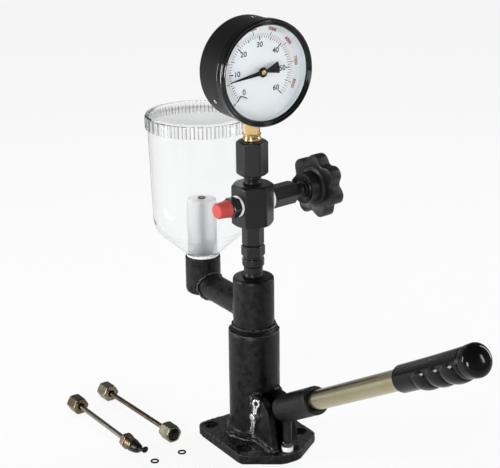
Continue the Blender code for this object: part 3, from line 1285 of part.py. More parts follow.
def main():
    """Clear the scene and build every piece of the tester."""
    for thing in list(bpy.data.objects):
        bpy.data.objects.remove(thing)
    finishes = {
        "black steel": material("black steel", (0.015, 0.015, 0.016), 0.35, 0.3),
        "cast black": material("cast black", (0.012, 0.012, 0.013), 0.45),
        "black enamel": material("black enamel", (0.010, 0.010, 0.011), 0.25),
        "black plastic": material("black plastic", (0.012, 0.012, 0.013), 0.4),
        "black rubber": material("black rubber", (0.010, 0.010, 0.011), 0.5),
        "needle black": material("needle black", (0.008, 0.008, 0.009), 0.5),
        "bright steel": material("bright steel", (0.65, 0.65, 0.63), 0.3, 1.0),
        "spring steel": material("spring steel", (0.25, 0.25, 0.26), 0.4, 1.0),
        "brown steel": material("brown steel", (0.10, 0.05, 0.04), 0.35, 0.6),
        "zinc": material("zinc", (0.50, 0.46, 0.26), 0.3, 0.9),
        "zinc brown": material("zinc brown", (0.42, 0.34, 0.22), 0.35, 0.9),
        "brass": material("brass", (0.72, 0.50, 0.18), 0.3, 1.0),
        "white nylon": material("white nylon", (0.85, 0.85, 0.83), 0.5),
        "grey plastic": material("grey plastic", (0.45, 0.46, 0.46), 0.5),
        "red plastic": material("red plastic", (0.70, 0.05, 0.04), 0.4),
        "frosted plastic": material("frosted plastic", (0.85, 0.86, 0.86), 0.6),
        "clear plastic": material("clear plastic", (0.92, 0.94, 0.95), 0.05),
        "glass": material("glass", (0.95, 0.97, 0.98), 0.02),
        "dial white": material("dial white", (0.86, 0.89, 0.91), 0.5),
    }
    build_pump_body(finishes["cast black"])
    build_buffer(finishes["white nylon"])
    build_lever(finishes)
    build_pins(finishes)
    build_pump_inside(finishes)
    build_stem(finishes)
    build_arm(finishes["cast black"])
    build_cup(finishes)
    build_tank(finishes)
    build_valve(finishes)
    build_outlet(finishes)
    build_gauge(finishes)
    build_pipes(finishes)
    build_o_rings(finishes["black rubber"])


if __name__ == "__main__":
    main()
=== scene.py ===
"""Dresses a hand-pumped diesel injector tester and sets up its studio.

Metres, +Z up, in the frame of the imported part: the origin is the centre of the base's underside,
the dial and the lever face -Y, the tank stands at +Y and the hand wheel is at +X. Profiles are
written in millimetres, as radius, height and the size of the softened corner.
"""

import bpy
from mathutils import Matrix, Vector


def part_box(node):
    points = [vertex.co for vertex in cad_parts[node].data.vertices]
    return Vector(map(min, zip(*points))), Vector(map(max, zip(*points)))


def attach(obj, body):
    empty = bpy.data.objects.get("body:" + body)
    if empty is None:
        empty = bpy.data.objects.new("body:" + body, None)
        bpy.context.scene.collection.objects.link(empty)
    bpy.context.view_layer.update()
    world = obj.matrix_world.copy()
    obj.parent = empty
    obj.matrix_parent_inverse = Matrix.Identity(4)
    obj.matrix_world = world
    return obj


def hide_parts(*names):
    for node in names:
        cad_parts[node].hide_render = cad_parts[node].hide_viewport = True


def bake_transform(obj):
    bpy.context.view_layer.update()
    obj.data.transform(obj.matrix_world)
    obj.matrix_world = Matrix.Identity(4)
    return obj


bl_info = {
    "name": "Injector tester dressing",
    "version": (1, 0, 0),
    "blender": (4, 5, 0),
    "location": "View3D > Sidebar > Tester",
    "description": "Builds the smooth pieces, finishes and studio of a diesel injector tester",
    "category": "Object",
}

import math

import bmesh
import bpy
import numpy as np
from mathutils import Matrix, Vector

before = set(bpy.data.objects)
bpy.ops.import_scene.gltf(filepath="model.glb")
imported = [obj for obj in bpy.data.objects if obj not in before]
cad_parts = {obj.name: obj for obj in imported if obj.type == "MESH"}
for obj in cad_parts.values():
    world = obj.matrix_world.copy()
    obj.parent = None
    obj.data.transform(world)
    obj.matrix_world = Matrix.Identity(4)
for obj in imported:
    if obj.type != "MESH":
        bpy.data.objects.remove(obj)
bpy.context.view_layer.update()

MM = 0.001
TAU = math.tau
DOWN_THE_LINE = math.radians(-122.7)
BLOCK_SPIN = math.radians(7.5)
INLET_HEIGHT = 0.1456
TANK_REACH = 0.1011
VALVE_HEIGHT = 0.2628
GAUGE_HEIGHT = 0.3999
BUFFER_REACH = -0.0615
BLOCK_LOW, BLOCK_HIGH = 240.0, 283.0
LID_RIBS = 42
SKIRT_TOP = 0.3334
SCALE_START = math.radians(225)
SCALE_SWEEP = math.radians(270)
READING = 8.0
INNER_FULL, OUTER_FULL = 60.0, 8702.0
UP = (0, 0, 1)


# Placements of the assemblies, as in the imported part

def placement(origin, along, across):
    """Matrix whose Z runs along one direction and whose X lies near another."""
    z_axis = np.array(along, float) / np.linalg.norm(along)
    y_axis = np.cross(z_axis, across)
    y_axis /= np.linalg.norm(y_axis)
    matrix = np.eye(4)
    matrix[:3, 0], matrix[:3, 1], matrix[:3, 2] = np.cross(y_axis, z_axis), y_axis, z_axis
    matrix[:3, 3] = origin
    return matrix


def shifted(x, y, z):
    """Matrix that only moves."""
    return placement((x, y, z), UP, (1, 0, 0))


def spun(matrix, angle):
    """The placement turned about its own Z."""
    turn = np.eye(4)
    turn[:2, :2] = [[math.cos(angle), -math.sin(angle)], [math.sin(angle), math.cos(angle)]]
    return matrix @ turn


HERE = shifted(0, 0, 0)
LEVER_RISE = math.radians(29.1)
PIVOT = (0.0, -0.030, 0.041)
LEVER = placement(PIVOT, (0, -math.cos(LEVER_RISE), math.sin(LEVER_RISE)), (1, 0, 0))
PIN = placement(PIVOT, (1, 0, 0), (0, 1, 0))
BUFFER = shifted(0, BUFFER_REACH, 0)
INLET = placement((0, 0, INLET_HEIGHT), (0, 1, 0), (1, 0, 0))
TANK = shifted(0, TANK_REACH, 0)
GAUGE = placement((0, 0, GAUGE_HEIGHT), (0, -1, 0), (1, 0, 0))
VALVE_AXIS = np.array((math.cos(BLOCK_SPIN), math.sin(BLOCK_SPIN), 0.0))
VALVE = placement((0, 0, VALVE_HEIGHT), VALVE_AXIS, UP)
OUTLET = placement((0, 0, VALVE_HEIGHT), -VALVE_AXIS, UP)


# Surfaces worked out as whole arrays. A grid is its points, and whether its rows and its columns
# close on themselves.

def softened(corners, steps=4, closed=False):
    """Profile in metres from corners in millimetres, with each corner C of size s replaced by the
    parabola (1-t)^2 A + 2t(1-t) C + t^2 B, where A and B lie s before and after C; one more point
    half as far again on each side keeps the flats flat."""
    table = np.array([tuple(c) + (0.0,) * (3 - len(c)) for c in corners], float) * MM
    middle, size = table[:, :2], table[:, 2:]
    before, after = np.roll(middle, 1, 0) - middle, np.roll(middle, -1, 0) - middle
    length_before = np.maximum(np.linalg.norm(before, axis=1, keepdims=True), 1e-9)
    length_after = np.maximum(np.linalg.norm(after, axis=1, keepdims=True), 1e-9)
    if not closed:
        size[[0, -1]] = 0
    reach_before = np.minimum(size, 0.46 * length_before)
    reach_after = np.minimum(size, 0.46 * length_after)
    start = middle + before / length_before * reach_before
    end = middle + after / length_after * reach_after
    t = np.linspace(0, 1, steps)[None, :, None]
    curve = ((1 - t) ** 2 * start[:, None] + 2 * t * (1 - t) * middle[:, None]
             + t ** 2 * end[:, None])
    far_start = middle + before / length_before * np.minimum(1.5 * reach_before,
                                                             0.49 * length_before)
    far_end = middle + after / length_after * np.minimum(1.5 * reach_after, 0.49 * length_after)
    rows = np.concatenate([far_start[:, None], curve, far_end[:, None]], 1).reshape(-1, 2)
    kept = np.ones(len(rows), bool)
    kept[1:] = np.linalg.norm(np.diff(rows, axis=0), axis=1) > 1e-7
    return rows[kept]


def refined(profile, step):
    """The profile with points added every step of its length, and its own points kept."""
    along = np.concatenate([[0], np.cumsum(np.linalg.norm(np.diff(profile, axis=0), axis=1))])
    places = np.unique(np.concatenate([along, np.arange(0, along[-1], step)]))
    places = places[np.concatenate([[True], np.diff(places) > 1e-6])]
    return np.stack([np.interp(places, along, profile[:, 0]),
                     np.interp(places, along, profile[:, 1])], 1)


def round_angles(count):
    """Even angles of a full turn."""
    return np.linspace(0, TAU, count, endpoint=False)


def flat_angles(sides, spin, per_side=22):
    """Angles that crowd towards a bar's corners: each flat's middle + (pi / sides) sin(pi s / 2)."""
    share = np.linspace(-1, 1, per_side, endpoint=False)
    middles = spin + TAU * np.arange(sides) / sides
    return (middles[:, None] + math.pi / sides * np.sin(math.pi / 2 * share)[None, :]).ravel()


def bar_reach(flats, sides, spin, angles, hardness):
    """Reach of a bar with softened corners: half the width over flats, divided by the p-norm of
    the cosines towards every flat."""
    towards = np.cos(angles[:, None] - spin - TAU * np.arange(sides) / sides)
    return flats / 2 / (np.maximum(towards, 0) ** hardness).sum(1) ** (1 / hardness)


def ringed(reach, height, angles):
    """Points about Z: (r cos a, r sin a, z)."""
    return np.stack([reach * np.cos(angles), reach * np.sin(angles), height + 0 * angles], -1)


def turned(profile, angles=96, closed=False):
    """Turned surface: point (i, j) is (r_i cos a_j, r_i sin a_j, z_i)."""
    angles = round_angles(angles) if np.isscalar(angles) else angles
    return ringed(profile[:, :1], profile[:, 1:], angles), closed, True


def barred(profile, flats, sides=6, spin=0.0, closed=True, low=-1.0, high=1.0, hardness=48):
    """Turned bar: between two heights each radius r becomes r / (1 + (r / reach)^p)^(1/p), the
    softened smaller one of the turned radius and the bar's reach, which draws the arcs of a
    chamfered hexagon."""
    angles = flat_angles(sides, spin)
    reach = bar_reach(flats, sides, spin, angles, hardness)[None, :]
    fine = refined(profile, 0.0006)
    radius, height = fine[:, :1], fine[:, 1:]
    trimmed = radius / (1 + (radius / reach) ** hardness) ** (1 / hardness)
    within = (height >= low) & (height <= high)
    return ringed(np.where(within, trimmed, radius), height, angles), closed, True


def chamfered(flats, low, high, bore, spare=1.0, soft=0.35, share=0.96, slope=0.55):
    """Closed profile of a drilled bar whose ends are turned to a cone, in millimetres."""
    start = flats / 2 * share
    corner = flats / 2 / math.cos(math.pi / 6) + spare
    drop = (corner - start) * slope
    return [(bore, low, 0.2), (start, low, soft), (corner, low + drop, 0.1),
            (corner, high - drop, 0.1), (start, high, soft), (bore, high, 0.2)]


def swept(path, radius, outward, sides=12, closed=False):
    """Tube along a path: point (i, j) = P_i + R_i (cos b_j n_i + sin b_j m_i), where n_i is the
    outward direction made square to the path and m_i is square to both; open ends close to a
    point."""
    path = np.asarray(path, float)
    if closed:
        ahead = np.roll(path, -1, 0) - np.roll(path, 1, 0)
    else:
        ahead = np.gradient(path, axis=0)
    ahead /= np.linalg.norm(ahead, axis=1, keepdims=True)
    outward = np.broadcast_to(np.asarray(outward, float), path.shape)
    side = outward - (outward * ahead).sum(1, keepdims=True) * ahead
    side /= np.linalg.norm(side, axis=1, keepdims=True)
    other = np.cross(ahead, side)
    radius = np.broadcast_to(np.asarray(radius, float), len(path))[:, None, None]
    b = round_angles(sides)[None, :, None]
    points = path[:, None] + radius * (np.cos(b) * side[:, None] + np.sin(b) * other[:, None])
    if not closed:
        first = np.broadcast_to(path[:1, None], (1, sides, 3))
        last = np.broadcast_to(path[-1:, None], (1, sides, 3))
        points = np.concatenate([first, points, last])
    return points, closed, True


def slab(outline, low, high):
    """Flat prism on an outline of (n, 2) points, each end fanned to the outline's middle."""
    outline = np.asarray(outline, float)
    middle = np.broadcast_to((outline.min(0) + outline.max(0)) / 2, outline.shape)
    rows = [(middle, low), (outline, low), (outline, high), (middle, high)]
    points = np.stack([np.column_stack([flat, np.full(len(flat), z)]) for flat, z in rows])
    return points, False, True


def block(x, y, z):
    """Plain block between limits, for cutting with."""
    return slab([(x[0], y[0]), (x[1], y[0]), (x[1], y[1]), (x[0], y[1])], *z)


def moved(grid, matrix):
    """The grid in another place."""
    points, wrap_rows, wrap_columns = grid
    return points @ matrix[:3, :3].T + matrix[:3, 3], wrap_rows, wrap_columns


def rough_field(points, size, seed, waves=26):
    """Even noise: many sines in random directions, with wavelengths near one size, added up."""
    dice = np.random.default_rng(seed)
    direction = dice.normal(size=(waves, 3))
    direction /= np.linalg.norm(direction, axis=1, keepdims=True)
    length = size * dice.uniform(0.6, 1.5, (waves, 1))
    phase = dice.uniform(0, TAU, waves)
    return np.sin(points @ (direction * TAU / length).T + phase).sum(1) / math.sqrt(waves / 2)


def bead(path, radius, outward, seed, closed=False, pitch=0.0024):
    """Weld bead: a swept tube whose radius swells at each pass of the rod and wanders a little."""
    path = np.asarray(path, float)
    along = np.concatenate([[0], np.cumsum(np.linalg.norm(np.diff(path, axis=0), axis=1))])
    swell = 0.13 * np.sin(TAU * along / pitch) + 0.13 * rough_field(path, 0.007, seed)
    wander = 0.18 * radius * np.stack([rough_field(path, 0.006, seed + k) for k in (1, 2, 3)], 1)
    return swept(path + wander, radius * (1 + swell), outward, 10, closed)


def ring_path(radius, height, count):
    """Points of a level circle, and the directions away from its axis."""
    angle = round_angles(count)
    return ringed(radius, height, angle), ringed(1.0, 0.0, angle)


# Meshes and pieces

def mesh_of(name, grids):
    """One mesh from grids: face (i, j) joins a point with its next row and column; doubled points
    are merged, which closes poles and seams, and every shell is turned outwards."""
    points, faces, first = [], [], 0
    for grid, wrap_rows, wrap_columns in grids:
        rows, columns = grid.shape[:2]
        i = np.arange(rows if wrap_rows else rows - 1)[:, None]
        j = np.arange(columns if wrap_columns else columns - 1)[None, :]
        up, across = (i + 1) % rows, (j + 1) % columns
        quads = np.stack([i * columns + j, i * columns + across, up * columns + across,
                          up * columns + j], -1)
        points.append(grid.reshape(-1, 3))
        faces.append(quads.reshape(-1, 4) + first)
        first += rows * columns
    mesh = bpy.data.meshes.new(name)
    mesh.from_pydata(np.concatenate(points).tolist(), [], np.concatenate(faces).tolist())
    shell = bmesh.new()
    shell.from_mesh(mesh)
    bmesh.ops.remove_doubles(shell, verts=shell.verts, dist=4e-6)
    bmesh.ops.dissolve_degenerate(shell, edges=shell.edges, dist=1e-6)
    bmesh.ops.recalc_face_normals(shell, faces=shell.faces)
    shell.to_mesh(mesh)
    shell.free()
    return mesh


def loose_object(name, grids):
    """An object from grids, linked to the scene."""
    thing = bpy.data.objects.new(name, mesh_of(name, grids))
    bpy.context.scene.collection.objects.link(thing)
    return thing


def with_modifier(thing, kind, **settings):
    """Apply one modifier to the object's mesh."""
    modifier = thing.modifiers.new(kind.lower(), kind)
    for key, value in settings.items():
        setattr(modifier, key, value)
    bpy.context.view_layer.update()
    depsgraph = bpy.context.evaluated_depsgraph_get()
    mesh = bpy.data.meshes.new_from_object(thing.evaluated_get(depsgraph))
    thing.modifiers.clear()
    thing.data = mesh


def carve(thing, cutters):
    """Take closed grids away from an object; the cutters may overlap."""
    tool = loose_object("cutter", cutters)
    with_modifier(thing, "BOOLEAN", operation="DIFFERENCE", object=tool, solver="EXACT",
                  use_self=True)
    bpy.data.objects.remove(tool)


def dress(thing, finish, body, nodes=(), sharp=38.0):
    """Shade the piece, give it its finish, and let it ride on its body in place of CAD nodes."""
    thing.data.materials.clear()
    thing.data.materials.append(bpy.data.materials[finish])
    thing.data.shade_smooth()
    if sharp:
        thing.data.set_sharp_from_angle(angle=math.radians(sharp))
    if body:
        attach(thing, body)
    if nodes:
        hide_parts(*nodes)
    return thing


def piece(name, grids, finish, body="root", nodes=(), place=HERE, sharp=38.0):
    """Make a piece straight from its grids."""
    thing = loose_object(name, [moved(grid, place) for grid in grids])
    return dress(thing, finish, body, nodes, sharp)


def lathe(name, finish, body, nodes, place, corners, count=96, steps=4, closed=False, sharp=38.0):
    """Make a turned piece from its corners in millimetres, closed where it is hollow."""
    profile = softened(corners, steps, closed)
    return piece(name, [turned(profile, count, closed)], finish, body, nodes, place, sharp)


def bar(name, finish, nodes, place, flats, spin, corners, **limits):
    """Make a drilled hexagon bar of the root body from its corners and its width over flats, in
    millimetres."""
    grid = barred(softened(corners, closed=True), flats * MM, 6, spin, **limits)
    return piece(name, [grid], finish, "root", nodes, place)


def cutter(corners, count, place=HERE):
    """Turned grid for cutting with, from its corners in millimetres."""
    return moved(turned(softened(corners), count), place)


def drill(radius, low, high, count, place=HERE):
    """Plain round cutter between two heights, in millimetres."""
    return cutter([(0, low), (radius, low), (radius, high), (0, high)], count, place)


def cast_skin(thing, cell, relax, grains, keep=None):
    """Give an object the skin of a rough casting: one even remeshed skin, relaxed, then pushed
    along its normals by noise; keep says where the skin stays true."""
    with_modifier(thing, "REMESH", mode="VOXEL", voxel_size=cell)
    with_modifier(thing, "SMOOTH", factor=0.5, iterations=relax)
    mesh = thing.data
    count = len(mesh.vertices)
    place, normal = np.zeros(count * 3), np.zeros(count * 3)
    mesh.vertices.foreach_get("co", place)
    mesh.vertices.foreach_get("normal", normal)
    place, normal = place.reshape(-1, 3), normal.reshape(-1, 3)
    push = sum(height * rough_field(place, size, seed) for height, size, seed in grains)
    if keep is not None:
        push = push * keep(place)
    place = place + normal * push[:, None]
    mesh.vertices.foreach_set("co", place.ravel())
    mesh.update()


# Finishes: every one is worked out on Object coordinates, in metres


def blank_finish(name, roughness, metallic=0.0, **sockets):
    """A Principled finish with its even values set on the shader's own sockets."""
    finish = bpy.data.materials.new(name)
    finish.use_nodes = True
    shader = finish.node_tree.nodes["Principled BSDF"]
    shader.inputs["Roughness"].default_value = roughness
    shader.inputs["Metallic"].default_value = metallic
    for key, value in sockets.items():
        shader.inputs[key.replace("_", " ").title().replace("Ior", "IOR")].default_value = value
    return finish


def new_node(tree, kind, sockets=(), **settings):
    """A new shader node with its settings, and a value or a link into each named input."""
    made = tree.nodes.new("ShaderNode" + kind)
    for key, value in settings.items():
        setattr(made, key, value)
    for key, value in dict(sockets).items():
        if isinstance(value, bpy.types.NodeSocket):
            tree.links.new(value, made.inputs[key])
        else:
            made.inputs[key].default_value = value
    return made


def reckoned(tree, operation, *values):
    """One step of arithmetic on numbers and outputs."""
    return new_node(tree, "Math", enumerate(values), operation=operation).outputs["Value"]


def ranged(tree, value, low, high, start=0.0, end=1.0):
    """The value's stretch from start to end mapped to low and high."""
    made = new_node(tree, "MapRange", {"Value": value, "From Min": start, "From Max": end,
                                       "To Min": low, "To Max": high})
    return made.outputs["Result"]


def ramped(tree, value, stops):
    """Colour ramp over a value; a stop is its place and its colour."""
    ramp = new_node(tree, "ValToRGB", {"Fac": value})
    elements = ramp.color_ramp.elements
    elements[0].position, elements[1].position = stops[0][0], stops[-1][0]
    for place, _ in stops[1:-1]:
        elements.new(place)
    for element, (_, colour) in zip(elements, stops):
        element.color = (*colour, 1)
    return ramp.outputs["Color"]


def object_place(tree):
    """X, Y and Z of the Object coordinates."""
    where = new_node(tree, "TexCoord").outputs["Object"]
    return new_node(tree, "SeparateXYZ", {"Vector": where}).outputs


def noise_on(finish, scale, detail=2.0, stretch=(1, 1, 1)):
    """Noise on the piece's Object coordinates, which stretch makes longer or shorter."""
    tree = finish.node_tree
    where = new_node(tree, "TexCoord").outputs["Object"]
    aim = new_node(tree, "Mapping", {"Vector": where, "Scale": stretch}).outputs["Vector"]
    made = new_node(tree, "TexNoise", {"Vector": aim, "Scale": scale, "Detail": detail,
                                       "Roughness": 0.55})
    return made.outputs["Fac"]


def into(finish, socket, value):
    """Link a value to a socket of the finish's shader."""
    finish.node_tree.links.new(value, finish.node_tree.nodes["Principled BSDF"].inputs[socket])


def colour_from(finish, pattern, stops):
    """Colour ramp over a pattern into the base colour."""
    into(finish, "Base Color", ramped(finish.node_tree, pattern, stops))


def roughness_from(finish, pattern, low, high):
    """Map a pattern to a range of roughness."""
    into(finish, "Roughness", ranged(finish.node_tree, pattern, low, high, 0.3, 0.7))


def bump_from(finish, *layers):
    """Stack bumps, each a pattern and its height in metres."""
    below = {}
    for pattern, height in layers:
        bump = new_node(finish.node_tree, "Bump", {"Strength": 1.0, "Distance": height,
                                                   "Height": pattern, **below})
        below = {"Normal": bump.outputs["Normal"]}
    into(finish, "Normal", below["Normal"])


def height_blend(finish, pattern, rough, smooth):
    """The pattern times one factor on top of the base plate and another elsewhere, blended on the
    Object Z up to 20 mm."""
    tree = finish.node_tree
    off, on = (0, 0, 0), (1, 1, 1)
    rise = ranged(tree, object_place(tree)["Z"], 0.0, 1.0, end=0.020)
    zone = ramped(tree, rise, [(0.455, off), (0.480, on), (0.62, on), (0.85, off)])
    return reckoned(tree, "MULTIPLY", ranged(tree, zone, smooth, rough), pattern)


def spread(colour, amount):
    """A darker and a lighter neighbour of a colour, as the stops of a ramp."""
    return [(0.3, [c * (1 - amount) for c in colour]),
            (0.7, [min(1.0, c * (1 + amount)) for c in colour])]


class TesterColours(bpy.types.PropertyGroup):
    """Colours of the finishes, as linear values."""
    paint: bpy.props.FloatVectorProperty(
        name="Casting paint", description="Black paint on the castings",
        default=(0.0040, 0.0040, 0.0042), subtype="COLOR", min=0, max=1)
    oxide: bpy.props.FloatVectorProperty(
        name="Black oxide", description="Blackened steel of the stem",
        default=(0.0100, 0.0100, 0.0104), subtype="COLOR", min=0, max=1)
    plastic: bpy.props.FloatVectorProperty(
        name="Black plastic", description="Grip of the lever",
        default=(0.0030, 0.0030, 0.0032), subtype="COLOR", min=0, max=1)
    red: bpy.props.FloatVectorProperty(
        name="Red cap", description="Cap on the outlet",
        default=(0.50, 0.070, 0.062), subtype="COLOR", min=0, max=1)
    brass: bpy.props.FloatVectorProperty(
        name="Brass", description="Gauge socket and works",
        default=(0.58, 0.42, 0.20), subtype="COLOR", min=0, max=1)
    dial: bpy.props.FloatVectorProperty(
        name="Dial", description="White of the dial",
        default=(0.85, 0.885, 0.90), subtype="COLOR", min=0, max=1)


class TesterSizes(bpy.types.PropertyGroup):
    """Sizes of the surface details."""
    grain_height: bpy.props.FloatProperty(
        name="Casting grain", description="Height of the casting's lumps",
        default=0.00013, unit="LENGTH", subtype="DISTANCE")
    weld_radius: bpy.props.FloatProperty(
        name="Weld bead", description="Radius of the weld beads",
        default=0.0021, unit="LENGTH", subtype="DISTANCE")
    thread_pitch: bpy.props.FloatProperty(
        name="Thread pitch", description="Pitch of the threads",
        default=0.0015, unit="LENGTH", subtype="DISTANCE")
    cell: bpy.props.FloatProperty(
        name="Casting cell", description="Cell of the castings' remeshed skin",
        default=0.0010, unit="LENGTH", subtype="DISTANCE")


class TesterStudio(bpy.types.PropertyGroup):
    """The floor and the lamps."""
    floor_half: bpy.props.FloatProperty(
        name="Floor", description="Half the width of the floor",
        default=9.0, unit="LENGTH", subtype="DISTANCE")
    floor_colour: bpy.props.FloatVectorProperty(
        name="Floor colour", description="Colour of the floor",
        default=(0.66, 0.66, 0.665), subtype="COLOR", min=0, max=1)
    white_share: bpy.props.FloatProperty(
        name="White share", description="Share of plain white in the floor as it is seen",
        default=0.90, min=0, max=1)
    key_power: bpy.props.FloatProperty(
        name="Key lamp", description="Power of the lamp at the left", default=13.0, unit="POWER")
    rim_power: bpy.props.FloatProperty(
        name="Side lamp", description="Power of the lamp at the right", default=6.5, unit="POWER")
    top_power: bpy.props.FloatProperty(
        name="Top lamp", description="Power of the lamp behind", default=13.0, unit="POWER")
    front_power: bpy.props.FloatProperty(
        name="Front lamp", description="Power of the lamp at the front", default=18.5,
        unit="POWER")
    end_power: bpy.props.FloatProperty(
        name="End lamp", description="Power of the lamp that the grip's end mirrors",
        default=2.0, unit="POWER")


class TESTER_OT_finishes(bpy.types.Operator):
    """Mix every finish of the tester"""
    bl_idname = "tester.finishes"
    bl_label = "Finishes"

    def execute(self, context):
        colours = context.scene.tester_colours
        self.mix_paints(colours)
        self.mix_plain(colours)
        self.mix_zinc()
        self.mix_clear()
        return {"FINISHED"}

    def mix_paints(self, colours):
        """Casting paints, wetter on top of the plate, black oxide and the gauge case's enamel."""
        for name, gloss, level, wet, shine, low, high, fine in (
                ("cast paint", 0.40, 0.20, 0.15, 0.85, 0.0015, 0.00007, 0.00009),
                ("weld paint", 0.16, 0.60, 0.16, 0.60, 0.0012, 0.0012, 0.00005),
                ("socket paint", 0.40, 0.26, 0.40, 0.26, 0.00002, 0.00002, 0.00003)):
            paint = blank_finish(name, gloss, 0.0, specular_ior_level=level)
            colour_from(paint, noise_on(paint, 90), spread(colours.paint, 0.3))
            uneven = noise_on(paint, 140, 3)
            into(paint, "Roughness", height_blend(paint, uneven, 2 * wet, 2 * gloss))
            into(paint, "Specular IOR Level", height_blend(paint, uneven, 2 * shine, 2 * level))
            lumps = height_blend(paint, noise_on(paint, 420, 3), low, high)
            bump_from(paint, (lumps, 1.0), (noise_on(paint, 1100, 3), fine))
        oxide = blank_finish("black oxide", 0.28, 0.0, specular_ior_level=0.27)
        colour_from(oxide, noise_on(oxide, 160, 4), spread(colours.oxide, 0.10))
        roughness_from(oxide, noise_on(oxide, 260, 3), 0.27, 0.30)
        bump_from(oxide, (noise_on(oxide, 2600, 2), 0.000008))
        case = blank_finish("case enamel", 0.40, 0.0, specular_ior_level=0.16)
        around = noise_on(case, 1.0, 2.0, stretch=(14, 1500, 14))
        colour_from(case, around, [(0.3, (0.004, 0.004, 0.0045)), (0.7, (0.007, 0.007, 0.0075))])
        roughness_from(case, around, 0.33, 0.46)
        bump_from(case, (around, 0.00003), (noise_on(case, 700, 2), 0.00001))

    def mix_plain(self, colours):
        """Plain finishes: light mottling, uneven gloss and a fine grain, whose scale comes before
        its height in micrometres and the share by which the colour varies."""
        for name, colour, roughness, metallic, level, grain, height, vary in (
                ("bright oxide", colours.oxide, 0.15, 0.0, 0.90, 1400, 6, 0.12),
                ("ring enamel", (0.003, 0.003, 0.0034), 0.10, 0.0, 0.42, 500, 20, 0.12),
                ("grip plastic", colours.plastic, 0.12, 0.0, 0.20, 300, 6, 0.12),
                ("wheel plastic", (0.0065, 0.0065, 0.0065), 0.38, 0.0, 0.34, 300, 4, 0.12),
                ("black rubber", (0.003, 0.003, 0.0032), 0.30, 0.0, 0.22, 1500, 10, 0.12),
                ("needle black", (0.003, 0.003, 0.0035), 0.45, 0.0, 0.20, 900, 10, 0.12),
                ("dial black", (0.006, 0.006, 0.007), 0.60, 0.0, 0.20, 900, 4, 0.12),
                ("dial red", (0.34, 0.035, 0.04), 0.60, 0.0, 0.20, 900, 4, 0.12),
                ("bright steel", (0.92, 0.92, 0.91), 0.26, 1.0, 0.50, 1100, 20, 0.05),
                ("spring steel", (0.52, 0.49, 0.43), 0.30, 1.0, 0.50, 900, 20, 0.12),
                ("brown steel", (0.07, 0.035, 0.022), 0.30, 0.7, 0.50, 900, 20, 0.12),
                ("yellow brass", colours.brass, 0.22, 1.0, 0.50, 1300, 6, 0.10),
                ("white nylon", (0.84, 0.84, 0.82), 0.42, 0.0, 0.50, 800, 20, 0.03),
                ("grey plastic", (0.24, 0.245, 0.25), 0.45, 0.0, 0.50, 700, 20, 0.05),
                ("red plastic", colours.red, 0.48, 0.0, 0.18, 700, 20, 0.08),
                ("dial white", colours.dial, 0.55, 0.0, 0.50, 300, 3, 0.012),
                # The grey of the wall inside the gauge's rim is painted shade from the ring.
                ("wall grey", (0.72, 0.78, 0.79), 0.50, 0.0, 0.50, 300, 3, 0.02)):
            finish = blank_finish(name, roughness, metallic, specular_ior_level=level)
            colour_from(finish, noise_on(finish, grain / 8), spread(colour, vary))
            roughness_from(finish, noise_on(finish, grain / 5), roughness * 0.8, roughness * 1.25)
            bump_from(finish, (noise_on(finish, grain), height * 1e-6))

    def mix_zinc(self):
        """Zinc finishes in four tones, each from dark to light."""
        for name, gloss, *tones in (
                ("yellow zinc", 0.22, (0.30, (0.38, 0.345, 0.205)), (0.5, (0.41, 0.375, 0.235)),
                 (0.70, (0.40, 0.375, 0.26))),
                ("olive zinc", 0.30, (0.30, (0.19, 0.175, 0.12)), (0.5, (0.225, 0.205, 0.145)),
                 (0.72, (0.28, 0.265, 0.195))),
                ("green zinc", 0.28, (0.30, (0.29, 0.295, 0.235)), (0.5, (0.32, 0.325, 0.26)),
                 (0.72, (0.36, 0.36, 0.29))),
                ("brown zinc", 0.30, (0.30, (0.14, 0.102, 0.062)), (0.5, (0.18, 0.136, 0.088)),
                 (0.72, (0.24, 0.20, 0.138)))):
            zinc = blank_finish(name, gloss, 1.0)
            colour_from(zinc, noise_on(zinc, 60, 1), tones)
            roughness_from(zinc, noise_on(zinc, 160, 1), gloss * 0.95, gloss * 1.15)
            bump_from(zinc, (noise_on(zinc, 1500, 1), 0.000001))

    def mix_clear(self):
        """Clear and frosted plastics, the clear ones with painted shade at their slanted edges, and
        the gauge's glass.
        """
        # The third column sets how dark the painted shade on the sides of the lid's ribs is.
        for name, index, rib_side_shade in (("clear plastic", 1.24, 0.0), ("lid plastic", 1.15, 0.62)):
            clear = blank_finish(name, 0.035, 0.0, transmission_weight=1.0, ior=index,
                                 specular_ior_level=0.5)
            self.tint_edges(clear, rib_side_shade)
            roughness_from(clear, noise_on(clear, 60), 0.0, 0.02)
            bump_from(clear, (noise_on(clear, 45, 1), 0.00008))
        glass = blank_finish("window glass", 0.0, 0.0, transmission_weight=1.0, ior=1.12)
        colour_from(glass, noise_on(glass, 20), [(0.3, (0.985, 0.99, 0.995)),
                                                 (0.7, (0.99, 0.995, 1.0))])
        bump_from(glass, (noise_on(glass, 20, 1), 0.000004))
        frosted = blank_finish("frosted plastic", 0.55, 0.0, transmission_weight=0.80, ior=1.25)
        colour_from(frosted, noise_on(frosted, 120), [(0.3, (0.93, 0.94, 0.95)),
                                                      (0.7, (0.97, 0.975, 0.98))])
        bump_from(frosted, (noise_on(frosted, 1400), 0.00002))

